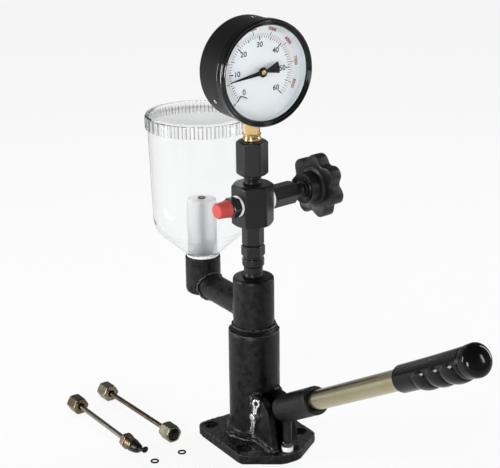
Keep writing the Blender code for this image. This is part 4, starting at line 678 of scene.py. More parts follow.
    def tint_edges(self, finish, rib_side_shade):
        """Painted shade: grey the plastic where it is seen at a slant, standing in for the darker
        look of its edges, where more of it is looked through, and paint shade on the sides of the
        lid's ribs, where cos(42 a) is near 0."""
        tree = finish.node_tree
        slant = new_node(tree, "LayerWeight", {"Blend": 0.5}).outputs["Facing"]
        # Painted shade: the plastic turns greyer the more it is seen at a slant.
        slant_shade = ramped(tree, slant, [(0.25, (0.985, 0.988, 0.99)), (0.72, (0.91, 0.915, 0.92)),
                                    (0.97, (0.55, 0.56, 0.57))])
        place = object_place(tree)
        # Painted shade on the sides of the lid's ribs, on the skirt only.
        deep = reckoned(tree, "SUBTRACT", place["Y"], TANK_REACH)
        around = reckoned(tree, "MULTIPLY", reckoned(tree, "ARCTAN2", deep, place["X"]), LID_RIBS)
        wave = reckoned(tree, "ABSOLUTE", reckoned(tree, "COSINE", around))
        dark = ranged(tree, wave, rib_side_shade, 0.0, 0.15, 0.60)
        skirt = reckoned(tree, "LESS_THAN", place["Z"], SKIRT_TOP)
        share = reckoned(tree, "SUBTRACT", 1.0, reckoned(tree, "MULTIPLY", dark, skirt))
        shade_scaled = new_node(tree, "VectorMath", {0: slant_shade, "Scale": share}, operation="SCALE")
        into(finish, "Base Color", shade_scaled.outputs["Vector"])


# Castings: base, arm, cup and lever

class TESTER_OT_castings(bpy.types.Operator):
    """Cast the base, the arm, the cup and the lever's socket"""
    bl_idname = "tester.castings"
    bl_label = "Castings"

    def execute(self, context):
        sizes = context.scene.tester_sizes
        make_base(sizes)
        make_arm(sizes)
        make_cup(sizes)
        make_lever_socket(sizes)
        return {"FINISHED"}


def plate_outline():
    """Plan of the base plate: two square corners at the back and a nose towards the lever."""
    corners = [(-47, -45, 3.2), (-10.5, -70, 2.6), (10.5, -70, 2.6), (47, -45, 3.2),
               (47, 45, 12.5), (-47, 45, 12.5)]
    return softened(corners, 9, closed=True)


def lug_outline():
    """Side view of a lever lug, as -Y to the left and Z up."""
    turn = np.radians(np.linspace(170, 100, 16))
    arc = np.stack([-30 + 21 * np.cos(turn), 41 + 21 * np.sin(turn)], 1)
    outline = np.concatenate([[(-10.7, 5), (-57, 5), (-57, 18)], arc, [(-21.4, 62),
                                                                      (-10.7, 62)]])
    return outline * MM


def make_base(sizes):
    """Base plate, foot, column and lugs as one casting, rough on top of the plate."""
    seat = placement((0, 0, 0), (1, 0, 0), (0, 1, 0))
    column = softened([(0, 5), (32.5, 5), (32.5, 10.2, 1), (30.6, 13.5, 1), (26.7, 17.5, 3),
                       (26.7, 123.4, 2.0), (25.0, 126.2, 1), (22.4, 128.6, 0.8), (21.4, 130.4, 1),
                       (21.4, 183.5, 2.8), (0, 183.5)], 6)
    shells = [slab(plate_outline(), 0.0, 0.010), turned(refined(column, 0.004), 140)]
    for low, high in ((-16.5, -8.5), (8.5, 16.5)):
        shells.append(moved(slab(lug_outline(), low * MM, high * MM), seat))
    thing = loose_object("pump_casting", shells)
    bore = [(0, 14), (13.5, 14), (13.5, 95), (9.5, 95), (9.5, 190), (0, 190)]
    slot = block((-0.0085, 0.0085), (-0.0287, 0.0), (0.0165, 0.062))
    carve(thing, [cutter(bore, 64), slot, drill(4.5, -19, 19, 40, PIN),
                  drill(4.5, 4.6, 29, 32, INLET)])
    grain = sizes.grain_height
    cast_skin(thing, sizes.cell, 3, ((grain, 0.0050, 51), (grain * 0.6, 0.0024, 52)),
              keep=lambda p: np.clip((p[:, 2] - 0.0008) / 0.002, 0, 1)
              * np.clip((0.1828 - p[:, 2]) / 0.001, 0, 1)
              * (0.16 + 0.84 * np.clip((0.0150 - p[:, 2]) / 0.002, 0, 1)))
    hole = [(0, -2), (4.7, -2), (4.7, 8.9, 0.4), (7.8, 8.9), (7.8, 16), (0, 16)]
    carve(thing, [cutter(hole, 48, shifted(x * MM, y * MM, 0)) for x in (-34.8, 34.8)
                  for y in (-33.0, 33.0)])
    dress(thing, "cast paint", "root", ("pump_body",), sharp=50)
    make_seams(sizes.weld_radius)


def make_seams(radius):
    """Weld beads where the foot, the shoulder and the lugs meet the plate and the column."""
    seams = []
    for ring_radius, height, share, seed in ((21.9, 130.6, 0.70, 3), (25.6, 125.0, 0.50, 5),
                                             (31.0, 11.4, 1.00, 7)):
        path, out = ring_path(ring_radius * MM, height * MM, 330)
        seams.append(bead(path, radius * share, out, seed, closed=True))
    for side in (-1, 1):
        for start, end, count, share, out, seed in (
                ((17.0, -56.5, 10.8), (17.0, -24.0, 11.2), 90, 1.25, UP, 11),
                ((16.5, -20.8, 16.0), (16.5, -20.8, 60.0), 110, 1.05, (0, -1, 0), 21),
                ((16.0, -22.0, 61.8), (9.0, -25.0, 62.2), 24, 1.25, UP, 31),
                ((16.5, -57.5, 11.0), (9.0, -58.0, 11.0), 24, 1.05, UP, 41)):
            path = np.linspace(start, end, count) * (side * MM, MM, MM)
            seams.append(bead(path, radius * share, out, seed + side))
    piece("weld_seams", seams, "weld paint", "root", (), sharp=0)


def make_arm(sizes):
    """Arm from the column to the cup, with a saddle weld at each end."""
    tube = refined(softened([(0, 12), (14.4, 12), (14.4, 92), (0, 92)]), 0.003)
    thing = loose_object("inlet_arm_casting", [moved(turned(tube, 96), INLET)])
    carve(thing, [drill(21.7, 100, 190, 96), drill(27.0, 100, 130.3, 96),
                  drill(19.3, 120, 190, 96, TANK), drill(4.5, 5, 100, 32, INLET)])
    cast_skin(thing, 0.0008, 2, ((sizes.grain_height * 0.25, 0.0060, 66),
                                 (sizes.grain_height * 0.12, 0.002, 67)))
    dress(thing, "cast paint", "root", ("inlet_arm",), sharp=0)
    turn = round_angles(250)
    radius = sizes.weld_radius
    reach = 0.0144 + 0.30 * radius
    across, height = reach * np.cos(turn), reach * np.sin(turn) + INLET_HEIGHT
    near = np.sqrt((0.0214 + 0.30 * radius) ** 2 - across ** 2)
    far = TANK_REACH - np.sqrt((0.0190 + 0.30 * radius) ** 2 - across ** 2)
    out = np.stack([np.cos(turn), 0 * turn, np.sin(turn)], 1)
    beads = [bead(np.stack([across, deep, height], 1), radius * share, out, seed, closed=True)
             for deep, share, seed in ((near, 0.8, 61), (far, 0.7, 64))]
    piece("arm_seams", beads, "weld paint", "root", (), sharp=0)


def make_cup(sizes):
    """Elbow cup: a turned casting with a round bottom, open to the arm and to the tank."""
    profile = softened([(0, 134.4), (19.0, 134.4, 6.5), (19.0, 176.7, 1.3), (9.8, 176.7, 0.5),
                        (9.8, 164.7), (4.5, 164.7), (4.5, 141.1), (0, 141.1)], 8)
    thing = loose_object("elbow_cup_casting", [moved(turned(refined(profile, 0.0025), 110), TANK)])
    carve(thing, [drill(4.5, 80, 101, 32, INLET)])
    cast_skin(thing, 0.0008, 2, ((sizes.grain_height * 0.45, 0.005, 71),
                                 (sizes.grain_height * 0.25, 0.002, 72)),
              keep=lambda p: np.clip((0.1762 - p[:, 2]) / 0.001, 0, 1))
    dress(thing, "cast paint", "root", ("elbow_cup",), sharp=0)


def make_lever_socket(sizes):
    """Lever socket: sleeve, web, boss and tongue in one casting, and its stop post and nut."""
    sleeve = softened([(0, 29.3), (14.6, 29.3, 1.6), (14.6, 94.4, 0.7), (0, 94.4)])
    web = block((-0.0073, 0.0073), (-0.0085, 0.0085), (0.0, 0.032))
    boss = softened([(0, -7.3), (10.5, -7.3, 0.8), (10.5, 7.3, 0.8), (0, 7.3)])
    turn = np.radians(np.linspace(140, -90, 18))
    tip = np.stack([28.5 + 6 * np.cos(turn), 6 * np.sin(turn)], 1)
    tongue = np.concatenate([[(-5.2, -6), (-5.2, 3.8)], tip]) * MM
    shells = [moved(turned(refined(sleeve, 0.003), 90), LEVER), moved(web, LEVER),
              moved(turned(boss, 72), PIN), moved(slab(tongue, -0.006, 0.006), PIN)]
    thing = loose_object("lever_casting", shells)
    carve(thing, [drill(4.5, -9, 9, 40, PIN)])
    cast_skin(thing, 0.0007, 2, ((sizes.grain_height * 0.16, 0.006, 83),
                                 (sizes.grain_height * 0.10, 0.002, 84)))
    bore = [(0, 41.7), (10.4, 41.7), (10.4, 94.0), (11.2, 95.0), (11.2, 99), (0, 99)]
    carve(thing, [cutter(bore, 90, LEVER)])
    dress(thing, "socket paint", "lever", ("lever_socket",), sharp=50)
    post = [(0, 15.5), (4.7, 15.5, 0.6), (4.7, 47.0), (0, 47.0)]
    lathe("stop_post", "socket paint", "lever", (), BUFFER, post, 48)
    nut = softened([(0, 15.5), (5.2, 15.5, 0.3), (6.4, 16.3, 0.2), (6.4, 20.0, 0.2),
                    (5.2, 20.7, 0.3), (0, 20.7)])
    piece("stop_nut", [barred(nut, 0.0110, 6, 0.3, closed=False)], "bright oxide", "lever", (),
          BUFFER)


# Lever tube, grip and pins

class TESTER_OT_lever(bpy.types.Operator):
    """Fit the lever tube, the grip, the pins and the stop buffer"""
    bl_idname = "tester.lever"
    bl_label = "Lever"

    def execute(self, context):
        lathe("lever_pipe", "yellow zinc", "lever", ("lever_tube",), LEVER, [
            (10.1, 42, 0.4), (10.1, 350, 0.4), (8.6, 350), (8.6, 42)], closed=True)
        make_grip()
        lathe("stop_pad", "white nylon", "root", ("stop_buffer",), BUFFER, [
            (0, 10.3), (6, 10.3, 0.5), (6, 15.2, 0.7), (0, 15.2)], 64)
        lathe("clevis_steel", "bright steel", "root", ("clevis_pin",), PIN, [
            (0, -23.5), (4.2, -23.5, 1.0), (4.2, 17.5), (6.5, 17.5, 0.4), (6.5, 20.5, 0.9),
            (0, 20.5)], 64, 5)
        make_split_pin()
        return {"FINISHED"}


def make_grip():
    """Grip: radius R(s, a) = taper + bulge + depth b arch(b, a) (0.45 + 0.55 under(a)) - creases,
    where b = |sin(pi (s - s0) / pitch)|^0.6 and under(a) is how far the point faces down; the end
    rounds off as a dome."""
    length, dome_start, foot = 0.1173, 0.1085, 0.247
    along = np.unique(np.concatenate([
        np.linspace(0, 0.0030, 14), np.linspace(0.0030, dome_start, 260),
        dome_start + (length - dome_start) * np.sin(np.linspace(0, math.pi / 2, 60))]))
    angle = round_angles(160)
    s, a = along[:, None], angle[None, :]
    taper = 0.0131 + 0.0019 * (s / length) ** 2
    edge = 0.0012
    taper = taper - edge * np.clip(1 - s / edge, 0, 1) ** 2
    under = np.maximum(0, -np.sin(a))
    start, pitch, fingers = 0.0295, 0.0215, 3
    phase = (s - start) / pitch
    inside = (phase > 0) & (phase < fingers)
    bumps = np.where(inside, np.abs(np.sin(math.pi * phase)), 0) ** 0.6
    arch = np.clip((0.55 * bumps - 0.15 - np.sin(a)) / 0.32, 0, 1)
    arch = arch * arch * (3 - 2 * arch)
    lift = 0.0027 * bumps * arch * (0.45 + 0.55 * np.clip(1.4 * under, 0, 1))
    valleys = start + pitch * np.arange(fingers + 1)
    crease = np.exp(-((s[..., None] - valleys) / 0.0011) ** 2).sum(-1)
    lift = lift - 0.0011 * crease * np.clip(1.8 * under, 0, 1)
    rise = np.clip((s - 0.0985) / 0.0060, 0, 1)
    bulge = 0.0005 * rise * rise * (3 - 2 * rise)
    ring = np.exp(-((s - 0.1000) / 0.0010) ** 2)
    radius = taper + lift + bulge - 0.0007 * ring
    dome = np.clip((s - dome_start) / (length - dome_start), 0, 1)
    radius = radius * (1 - dome ** 2.1) ** (1 / 2.3)
    outer = ringed(radius, foot + s, a)
    inner = turned(softened([(10.4, 350.3), (10.4, 247)]), angle)[0]
    cap = np.broadcast_to(np.array((0, 0, 0.3503)), (1, len(angle), 3))
    whole = np.concatenate([cap, inner, outer])
    piece("lever_hand_grip", [(whole, False, True)], "grip plastic", "lever", ("lever_grip",),
          LEVER, sharp=45)


def make_split_pin():
    """Split pin: one round wire down a leg, round the eye and back down the other leg."""
    lean = math.radians(12.5)
    place = placement(np.array(PIVOT) + (-0.0200, 0, 0), (0, -math.sin(lean), math.cos(lean)),
                      (0, 1, 0))
    place = spun(place, math.radians(35))
    turn = np.radians(np.linspace(238, -58, 40))
    eye = np.stack([3.1 * np.cos(turn), 0 * turn, 16.5 + 4.2 * np.sin(turn)], 1)
    down = np.linspace(-26.5, 9.4, 30)
    leg = np.stack([-1.15 - 0.9 * np.clip((-8 - down) / 18, 0, 1) ** 2, 0 * down, down], 1)
    back = np.linspace(9.4, -20.0, 26)
    other = np.stack([1.15 + 0.7 * np.clip((-8 - back) / 12, 0, 1) ** 2, 0 * back, back], 1)
    path = np.concatenate([leg, eye, other]) * MM
    wire = swept(path, 0.00125, (-0.57, 0.82, 0), 14)
    piece("split_wire", [wire], "bright steel", "root", ("split_pin",), place, sharp=60)


# Stem, valve and outlet

class TESTER_OT_stem(bpy.types.Operator):
    """Turn the holder, the nuts, the block, the valve and the outlet"""
    bl_idname = "tester.stem"
    bl_label = "Stem and valve"

    def execute(self, context):
        bar("holder_turned", "black oxide", ("delivery_holder",), HERE, 21.5, DOWN_THE_LINE, [
            (1.5, 171.3), (9.2, 171.3, 0.3), (9.2, 183.8), (10.4, 183.8, 0.4), (10.4, 186.0, 0.7),
            (9.8, 187.0, 0.3), (9.8, 194.6, 0.3), (11.2, 196.0, 0.5), (11.4, 197.4, 0.6),
            (11.4, 203.2, 0.7), (10.1, 204.6, 0.4), (10.1, 205.6, 0.2), (10.3, 206.0, 0.3),
            (13.4, 207.7, 0.1), (13.4, 216.3, 0.1), (10.3, 218.0, 0.3), (1.5, 218.0)], low=0.2057)
        bar("riser_turned", "black oxide", ("riser_nut",), HERE, 19.9, DOWN_THE_LINE,
            chamfered(19.9, 218.3, 239.7, 1.5))
        body = softened(chamfered(38.2, BLOCK_LOW, BLOCK_HIGH, 1.5), closed=True)
        thing = loose_object("valve_block_turned", [barred(body, 0.0382, 6, BLOCK_SPIN)])
        carve(thing, [drill(radius, low, high, 48, side) for side in (VALVE, OUTLET)
                      for radius, low, high in ((6.5, 8, 30), (1.5, 1, 9))])
        dress(thing, "black oxide", "root", ("valve_block",), sharp=30)
        lathe("gauge_neck_turned", "black oxide", "root", ("gauge_neck",), HERE, [
            (1.5, 283.3), (9.3, 283.3, 0.4), (9.3, 285.6, 0.7), (7.9, 286.4, 0.5),
            (7.9, 287.6, 0.5), (9.1, 288.6, 0.8), (9.1, 290.6, 0.5), (8.2, 291.3, 0.3),
            (8.2, 292.2, 0.2), (1.5, 292.2)], 80, closed=True)
        bar("gauge_nut_turned", "black oxide", ("gauge_nut",), HERE, 28.5, DOWN_THE_LINE,
            chamfered(28.5, 292.5, 327.3, 5.3))
        self.make_valve()
        self.make_outlet()
        return {"FINISHED"}

    def make_valve(self):
        """Washer, bonnet with its grooved neck, spindle and star wheel."""
        lathe("bonnet_seal", "white nylon", "root", ("bonnet_washer",), VALVE, [
            (6.5, 19.4), (12.2, 19.4, 0.5), (12.2, 21.2, 0.5), (6.5, 21.2)], 90, closed=True)
        bar("bonnet_turned", "black oxide", ("valve_bonnet",), VALVE, 21.5, 0, [
            (4.3, 9.55), (6.2, 9.55, 0.3), (6.2, 21.5), (10.0, 21.5, 0.3), (13.4, 23.2, 0.1),
            (13.4, 52.2, 0.1), (10.2, 54.0, 0.3), (6.7, 54.3, 0.2), (6.7, 56.6, 0.3),
            (7.8, 57.4, 0.5), (7.8, 60.4, 0.4), (7.0, 61.0, 0.3), (7.0, 62.0, 0.3),
            (7.7, 62.6, 0.4), (7.7, 65.2, 0.5), (6.6, 66.0, 0.2), (4.3, 66.0)
        ], low=0.0213, high=0.0541)
        lathe("spindle_turned", "bright steel", "hand_wheel", ("valve_spindle",), VALVE, [
            (0, 6.8), (0.75, 6.8, 0.3), (0.75, 9.25), (4.0, 13.5, 0.4), (4.0, 93.9, 0.6),
            (0, 94.3)], 48)
        make_wheel()

    def make_outlet(self):
        """Washer, fitting with its tip and the red cap."""
        lathe("outlet_seal", "white nylon", "root", ("outlet_washer",), OUTLET, [
            (6.5, 19.4), (10.8, 19.4, 0.5), (10.8, 21.2, 0.5), (6.5, 21.2)], 90, closed=True)
        bar("outlet_turned", "bright oxide", ("outlet_fitting",), OUTLET, 19, 0, [
            (1.5, 9.55), (6.2, 9.55, 0.3), (6.2, 21.5), (9.0, 21.5, 0.3), (12.0, 23.1, 0.1),
            (12.0, 29.9, 0.1), (8.9, 31.4, 0.3), (5.8, 31.6, 0.2), (5.8, 42.3, 0.8), (1.5, 42.3)
        ], low=0.0213, high=0.0315)
        lathe("red_cap", "red plastic", "outlet_cap", ("outlet_cap",), OUTLET, [
            (0, 42.9), (6.1, 42.9), (6.1, 32.1), (9.2, 32.1, 0.6), (9.2, 34.0, 0.5),
            (8.7, 34.6, 0.5), (8.0, 45.6, 1.4), (6.6, 47.3, 0.8), (0, 47.7)], 90, 5)


def make_wheel():
    """Star wheel: radius (1 - b) r + b star(a) - inset, where
    star(a) = R - depth (1 - (1 + cos 7(a - phase)) / 2)^1.45 and b goes from hub to rim."""
    angle = round_angles(336)
    wave = (1 + np.cos(7 * (angle - math.radians(2.5)))) / 2
    star = 0.0337 - 0.0065 * (1 - wave) ** 1.45
    rows = [(4.3, 66.6, 0, 0), (8.2, 66.6, 0, 0), (8.7, 67.0, 0, 0), (8.8, 70.6, 0, 0),
            (9.6, 71.2, 0, 0), (14.6, 68.6, 0, 0), (15.2, 67.9, 0, 0), (15.7, 67.7, 0, 0),
            (16.15, 67.9, 0, 0), (16.3, 68.4, 0, 0), (16.35, 80.2, 0, 0), (16.6, 81.2, 0, 0),
            (17.4, 81.7, 0, 0), (19.0, 81.9, 0, 0), (19.5, 82.3, 0, 0), (20.2, 82.3, 0, 0),
            (20.6, 82.0, 0, 0)]
    rows += [(0, 82.0, 1, 2.2), (0, 82.0, 1, 1.2), (0, 82.06, 1, 0.7), (0, 82.3, 1, 0.3),
             (0, 82.7, 1, 0.08), (0, 83.4, 1, 0.0), (0, 89.0, 1, -0.12), (0, 94.7, 1, 0.0),
             (0, 95.4, 1, 0.1), (0, 95.8, 1, 0.35), (0, 96.04, 1, 0.8), (0, 96.1, 1, 1.3),
             (0, 96.1, 1, 2.4)]
    rows += [(20.0, 96.1, 0, 0), (14.2, 96.1, 0, 0), (13.6, 95.8, 0, 0), (13.2, 95.0, 0, 0),
             (12.4, 94.7, 0, 0), (5.2, 94.7, 0, 0), (4.5, 94.6, 0, 0), (4.3, 94.2, 0, 0)]
    table = np.array(rows, float)
    radius, height, blend, inset = (table[:, k:k + 1] for k in range(4))
    reach = (1 - blend) * radius * MM + blend * (star[None, :] - inset * MM)
    points = ringed(reach, height * MM, angle)
    piece("star_wheel", [(points, True, True)], "wheel plastic", "hand_wheel", ("hand_wheel",),
          VALVE, sharp=40)


# Tank

class TESTER_OT_tank(bpy.types.Operator):
    """Blow the tank and its lid, and set the filter in it"""
    bl_idname = "tester.tank"
    bl_label = "Fuel tank"

    def execute(self, context):
        tank = softened([(4, 165.0), (9.5, 165.0, 0.4), (9.5, 178.9, 0.3), (17.5, 178.9, 0.5),
                         (45.5, 204.5, 2.0), (49.7, 209.7, 2.0), (51.4, 216.0, 2.5),
                         (52.4, 222.0, 2.0), (55.25, 320.5, 1.0), (55.25, 332.5, 0.6),
                         (53.25, 332.5, 0.6), (53.25, 320.5, 1.0), (50.4, 222.0, 2.0),
                         (49.4, 217.0, 2.5), (47.7, 210.7, 2.0), (44.1, 205.9, 2.0),
                         (17.2, 180.9, 0.5), (4, 180.9)], 6, closed=True)
        piece("clear_tank", [turned(refined(tank, 0.004), 160, True)], "clear plastic", "root",
              ("fuel_tank",), TANK, sharp=50)
        lathe("tank_seal", "white nylon", "root", ("tank_gasket",), TANK, [
            (9.8, 177.0), (17.5, 177.0, 0.5), (17.5, 178.6, 0.5), (9.8, 178.6)], 120, closed=True)
        make_lid()
        lathe("filter_cup", "frosted plastic", "root", ("fuel_filter",), TANK, [
            (15.8, 181.2, 0.4), (15.8, 241.0, 3.0), (2.1, 241.0), (2.1, 238.5), (13.3, 238.5, 1.5),
            (13.3, 181.2)], 96, 7, closed=True)
        lathe("filter_stem", "grey plastic", "root", ("filter_standpipe",), TANK, [
            (4.6, 181.2, 0.2), (4.6, 205.0, 0.3), (3.9, 205.4, 0.3), (3.9, 238.2, 0.2),
            (2.1, 238.2), (2.1, 181.2)], 56, closed=True)
        screw = softened([(0, 225.9), (1.8, 225.9, 0.3), (1.8, 241.3), (4.2, 241.3, 0.3),
                          (4.2, 242.5, 0.5), (2.4, 243.1, 0.4), (0, 243.1)])
        thing = loose_object("filter_bolt", [moved(turned(screw, 48), TANK)])
        carve(thing, [moved(block((-0.0005, 0.0005), (-0.006, 0.006), (0.2426, 0.2450)), TANK)])
        dress(thing, "brown steel", "root", ("filter_screw",), sharp=30)
        return {"FINISHED"}


def make_lid():
    """Lid: radius r + h b (0.5 + 0.5 tanh(5 cos 42 a) / tanh 5) ribs its skirt; b is 1 there."""
    angle = round_angles(LID_RIBS * 20)
    rib = 0.5 + 0.5 * np.tanh(5.0 * np.cos(LID_RIBS * angle)) / math.tanh(5.0)
    rows = [(0, 332.8, 0), (55.85, 332.8, 0), (55.85, 320.9, 0), (56.0, 320.6, 0),
            (56.3, 320.5, 0.3), (56.5, 320.7, 0.8), (56.6, 321.2, 1), (56.6, 326.8, 1),
            (56.6, 332.6, 1), (56.6, 333.0, 0.9), (56.6, 333.2, 0.2), (56.9, 333.4, 0),
            (57.2, 333.7, 0), (57.2, 334.4, 0), (56.8, 334.9, 0), (56.0, 335.15, 0),
            (54.6, 335.3, 0), (52.8, 335.4, 0), (50.6, 335.4, 0), (50.0, 335.2, 0),
            (49.6, 334.7, 0), (48.8, 334.5, 0), (20.0, 334.5, 0), (0, 334.5, 0)]
    table = np.array(rows, float)
    radius, height, share = (table[:, k:k + 1] for k in range(3))
    reach = (radius + 1.4 * share * rib[None, :]) * MM
    points = ringed(reach, height * MM, angle)
    piece("ribbed_lid", [(points, False, True)], "lid plastic", "tank_lid", ("tank_lid",),
          TANK, sharp=45)


# Gauge

class TESTER_OT_gauge(bpy.types.Operator):
    """Build the gauge: case, ring, window, dial with its scales, needle and works"""
    bl_idname = "tester.gauge"
    bl_label = "Gauge"

    def execute(self, context):
        case = softened([(0, -15.2), (51.3, -15.2, 4.0), (51.3, 20.3), (51.2, 20.4), (51.2, 24.0),
                         (49.8, 24.0), (49.8, -12.2, 2.5), (0, -13.7)], 8)
        thing = loose_object("case_pressed", [moved(turned(refined(case, 0.004), 180), GAUGE)])
        carve(thing, [drill(8.3, 330, 353.5, 64)])
        dress(thing, "case enamel", "root", ("gauge_case",))
        self.make_ring()
        lathe("window_glass", "window glass", "root", ("gauge_window",), GAUGE, [
            (0, 24.5), (50.7, 24.5, 0.3), (50.7, 26.5, 0.3), (0, 26.5)], 160)
        lathe("dial_plate", "dial white", "root", ("gauge_dial",), GAUGE, [
            (1.5, 14.5), (49.5, 14.5, 0.2), (49.5, 15.3, 0.2), (1.5, 15.3)], 160, closed=True)
        # Grey wall ring inside the rim, between the dial and the window: painted shade, standing in
        # for the shade that the ring casts on the dial's edge.
        lathe("dial_shade_wall", "wall grey", "root", (), GAUGE, [
            (48.4, 15.5, 0.1), (49.5, 15.5, 0.1), (49.5, 24.2, 0.2), (48.9, 24.2, 0.2)
        ], 160, closed=True)
        make_scales()
        self.make_needle()
        self.make_screws()
        self.make_socket()
        return {"FINISHED"}

    def make_ring(self):
        """Ring: a band with a rolled front edge, a groove and a thin inner bead."""
        lathe("ring_spun", "ring enamel", "root", ("gauge_ring",), GAUGE, [
            (51.6, 20.5, 0.2), (53.0, 20.5, 0.4), (53.0, 21.6, 0.1), (52.9, 21.9),
            (52.9, 27.4, 0.8), (52.4, 29.3, 1.2), (51.0, 29.9, 0.8), (50.1, 29.4, 0.3),
            (49.7, 28.7, 0.2), (49.1, 28.7, 0.2), (48.4, 29.3, 0.4), (47.6, 29.1, 0.4),
            (46.9, 27.9, 0.5), (46.6, 26.9, 0.2), (46.7, 26.8), (51.6, 26.8)
        ], 220, 6, closed=True, sharp=60)

    def make_needle(self):
        """Needle with its fan tail, and the brass hub on its arbor."""
        place = spun(GAUGE, SCALE_START - SCALE_SWEEP * READING / INNER_FULL)
        hub = np.radians(np.linspace(26, 164, 22))
        tail = np.radians(np.linspace(18, -18, 9))
        upper = np.stack([5.0 * np.cos(hub), 5.0 * np.sin(hub)], 1)
        fan = np.stack([-19.2 * np.cos(tail), 19.2 * np.sin(tail)], 1)
        outline = np.concatenate([[(37.7, 0.0), (37.4, 0.42), (20, 1.35), (5.2, 2.15)], upper,
                                  [(-5.6, 1.35)], fan, [(-5.6, -1.35)],
                                  upper[::-1] * (1, -1), [(5.2, -2.15), (20, -1.35),
                                                          (37.4, -0.42)]]) * MM
        middle = np.zeros_like(outline)
        heights = (20.7, 20.7, 20.85, 21.35, 21.5, 21.5)
        shares = (0.0, 0.985, 1.0, 1.0, 0.985, 0.0)
        points = np.stack([np.column_stack([middle + share * outline,
                                            np.full(len(outline), z * MM)])
                           for share, z in zip(shares, heights)])
        hub = softened([(0, 21.3), (4.7, 21.3), (4.7, 21.9, 0.35), (3.2, 22.1, 0.2), (2.8, 21.7),
                        (0, 21.7)])
        piece("needle_blade", [(points, False, True), turned(hub, 48)], "needle black", "needle",
              ("gauge_needle",), place, sharp=30)
        lathe("needle_cap", "yellow brass", "needle", ("needle_hub",), place, [
            (0, 6.0), (1.2, 6.0), (1.2, 21.8), (2.5, 21.8), (2.5, 22.6, 0.5), (1.2, 23.2, 0.5),
            (0, 23.3)], 40)

    def make_screws(self):
        """Three small cross-head screws round the case."""
        for i in range(3):
            turn = math.pi / 2 + TAU * i / 3
            out = (math.cos(turn), 0.0, math.sin(turn))
            place = placement((0.0, -0.005, GAUGE_HEIGHT), out, (0, 1, 0))
            screw = softened([(0, 48.7), (1.1, 48.7, 0.2), (1.1, 51.6), (2.3, 51.6, 0.2),
                              (2.3, 52.1, 0.4), (1.1, 52.6, 0.5), (0, 52.7)], 5)
            thing = loose_object(f"case_bolt_{i + 1}", [moved(turned(screw, 40), place)])
            spin = spun(place, 0.5)
            narrow, wide = (-0.0003, 0.0003), (-0.0016, 0.0016)
            carve(thing, [moved(block(*slot, (0.0522, 0.0540)), spin)
                          for slot in ((narrow, wide), (wide, narrow))])
            dress(thing, "spring steel", "root", (f"case_screw_{i + 1}",), sharp=30)

    def make_socket(self):
        """Brass socket under the case: a spigot, a collar, four flats and the block inside."""
        low = softened([(1.5, 294.8), (5.0, 294.8, 0.4), (5.0, 327.6), (9.2, 327.6, 0.5),
                        (9.2, 330.6, 0.5), (8.5, 331.4, 0.3), (8.5, 332.6, 0.3),
                        (9.2, 333.4, 0.4), (9.2, 334.6, 0.4), (10.0, 335.0, 0.2),
                        (11.2, 336.0, 0.2), (11.2, 347.4, 0.2), (9.0, 348.2, 0.3),
                        (8.0, 348.3), (8.0, 370.0, 0.4), (1.5, 370.0)], closed=True)
        piece("brass_socket", [barred(low, 0.0165, 4, DOWN_THE_LINE, low=0.3348, high=0.3484)],
              "yellow brass", "root", ("gauge_socket",))


def tick_marks(values, full, inner, outer, width):
    """Scale ticks: each is a thin bar from one radius to another, along the ray at its value."""
    angle = SCALE_START - SCALE_SWEEP * np.asarray(values, float) / full
    along = np.stack([np.cos(angle), np.sin(angle)], 1)
    across = np.stack([-np.sin(angle), np.cos(angle)], 1)
    grids = []
    for direction, side, start, end, half in zip(along, across, *np.broadcast_arrays(
            inner, outer, width)):
        corners = np.array([start * direction - half * side, end * direction - half * side,
                            end * direction + half * side, start * direction + half * side])
        grids.append(slab(corners * MM, 0.01533, 0.01540))
    return grids


def text_mesh(name, entries, height):
    """Mesh of figures on the dial; an entry is its text, radius, angle, turn and size."""
    shells = bmesh.new()
    for text, radius, angle, turn, size in entries:
        curve = bpy.data.curves.new("figure", "FONT")
        curve.body = text
        curve.align_x, curve.align_y = "CENTER", "CENTER"
        curve.size = size * MM
        curve.extrude = 0.00004
        curve.offset = 0.00011
        curve.resolution_u = 4
        figure = bpy.data.objects.new("figure", curve)
        bpy.context.scene.collection.objects.link(figure)
        bpy.context.view_layer.update()
        depsgraph = bpy.context.evaluated_depsgraph_get()
        mesh = bpy.data.meshes.new_from_object(figure.evaluated_get(depsgraph))
        spot = (radius * MM * math.cos(angle), radius * MM * math.sin(angle), height)
        local = Matrix.Translation(spot) @ Matrix.Rotation(turn, 4, "Z")
        mesh.transform(Matrix(GAUGE.tolist()) @ local)
        shells.from_mesh(mesh)
        bpy.data.meshes.remove(mesh)
        bpy.data.objects.remove(figure)
        bpy.data.curves.remove(curve)
    bmesh.ops.remove_doubles(shells, verts=shells.verts, dist=1e-7)
    mesh = bpy.data.meshes.new(name)
    shells.to_mesh(mesh)
    shells.free()
    thing = bpy.data.objects.new(name, mesh)
    bpy.context.scene.collection.objects.link(thing)
    return thing


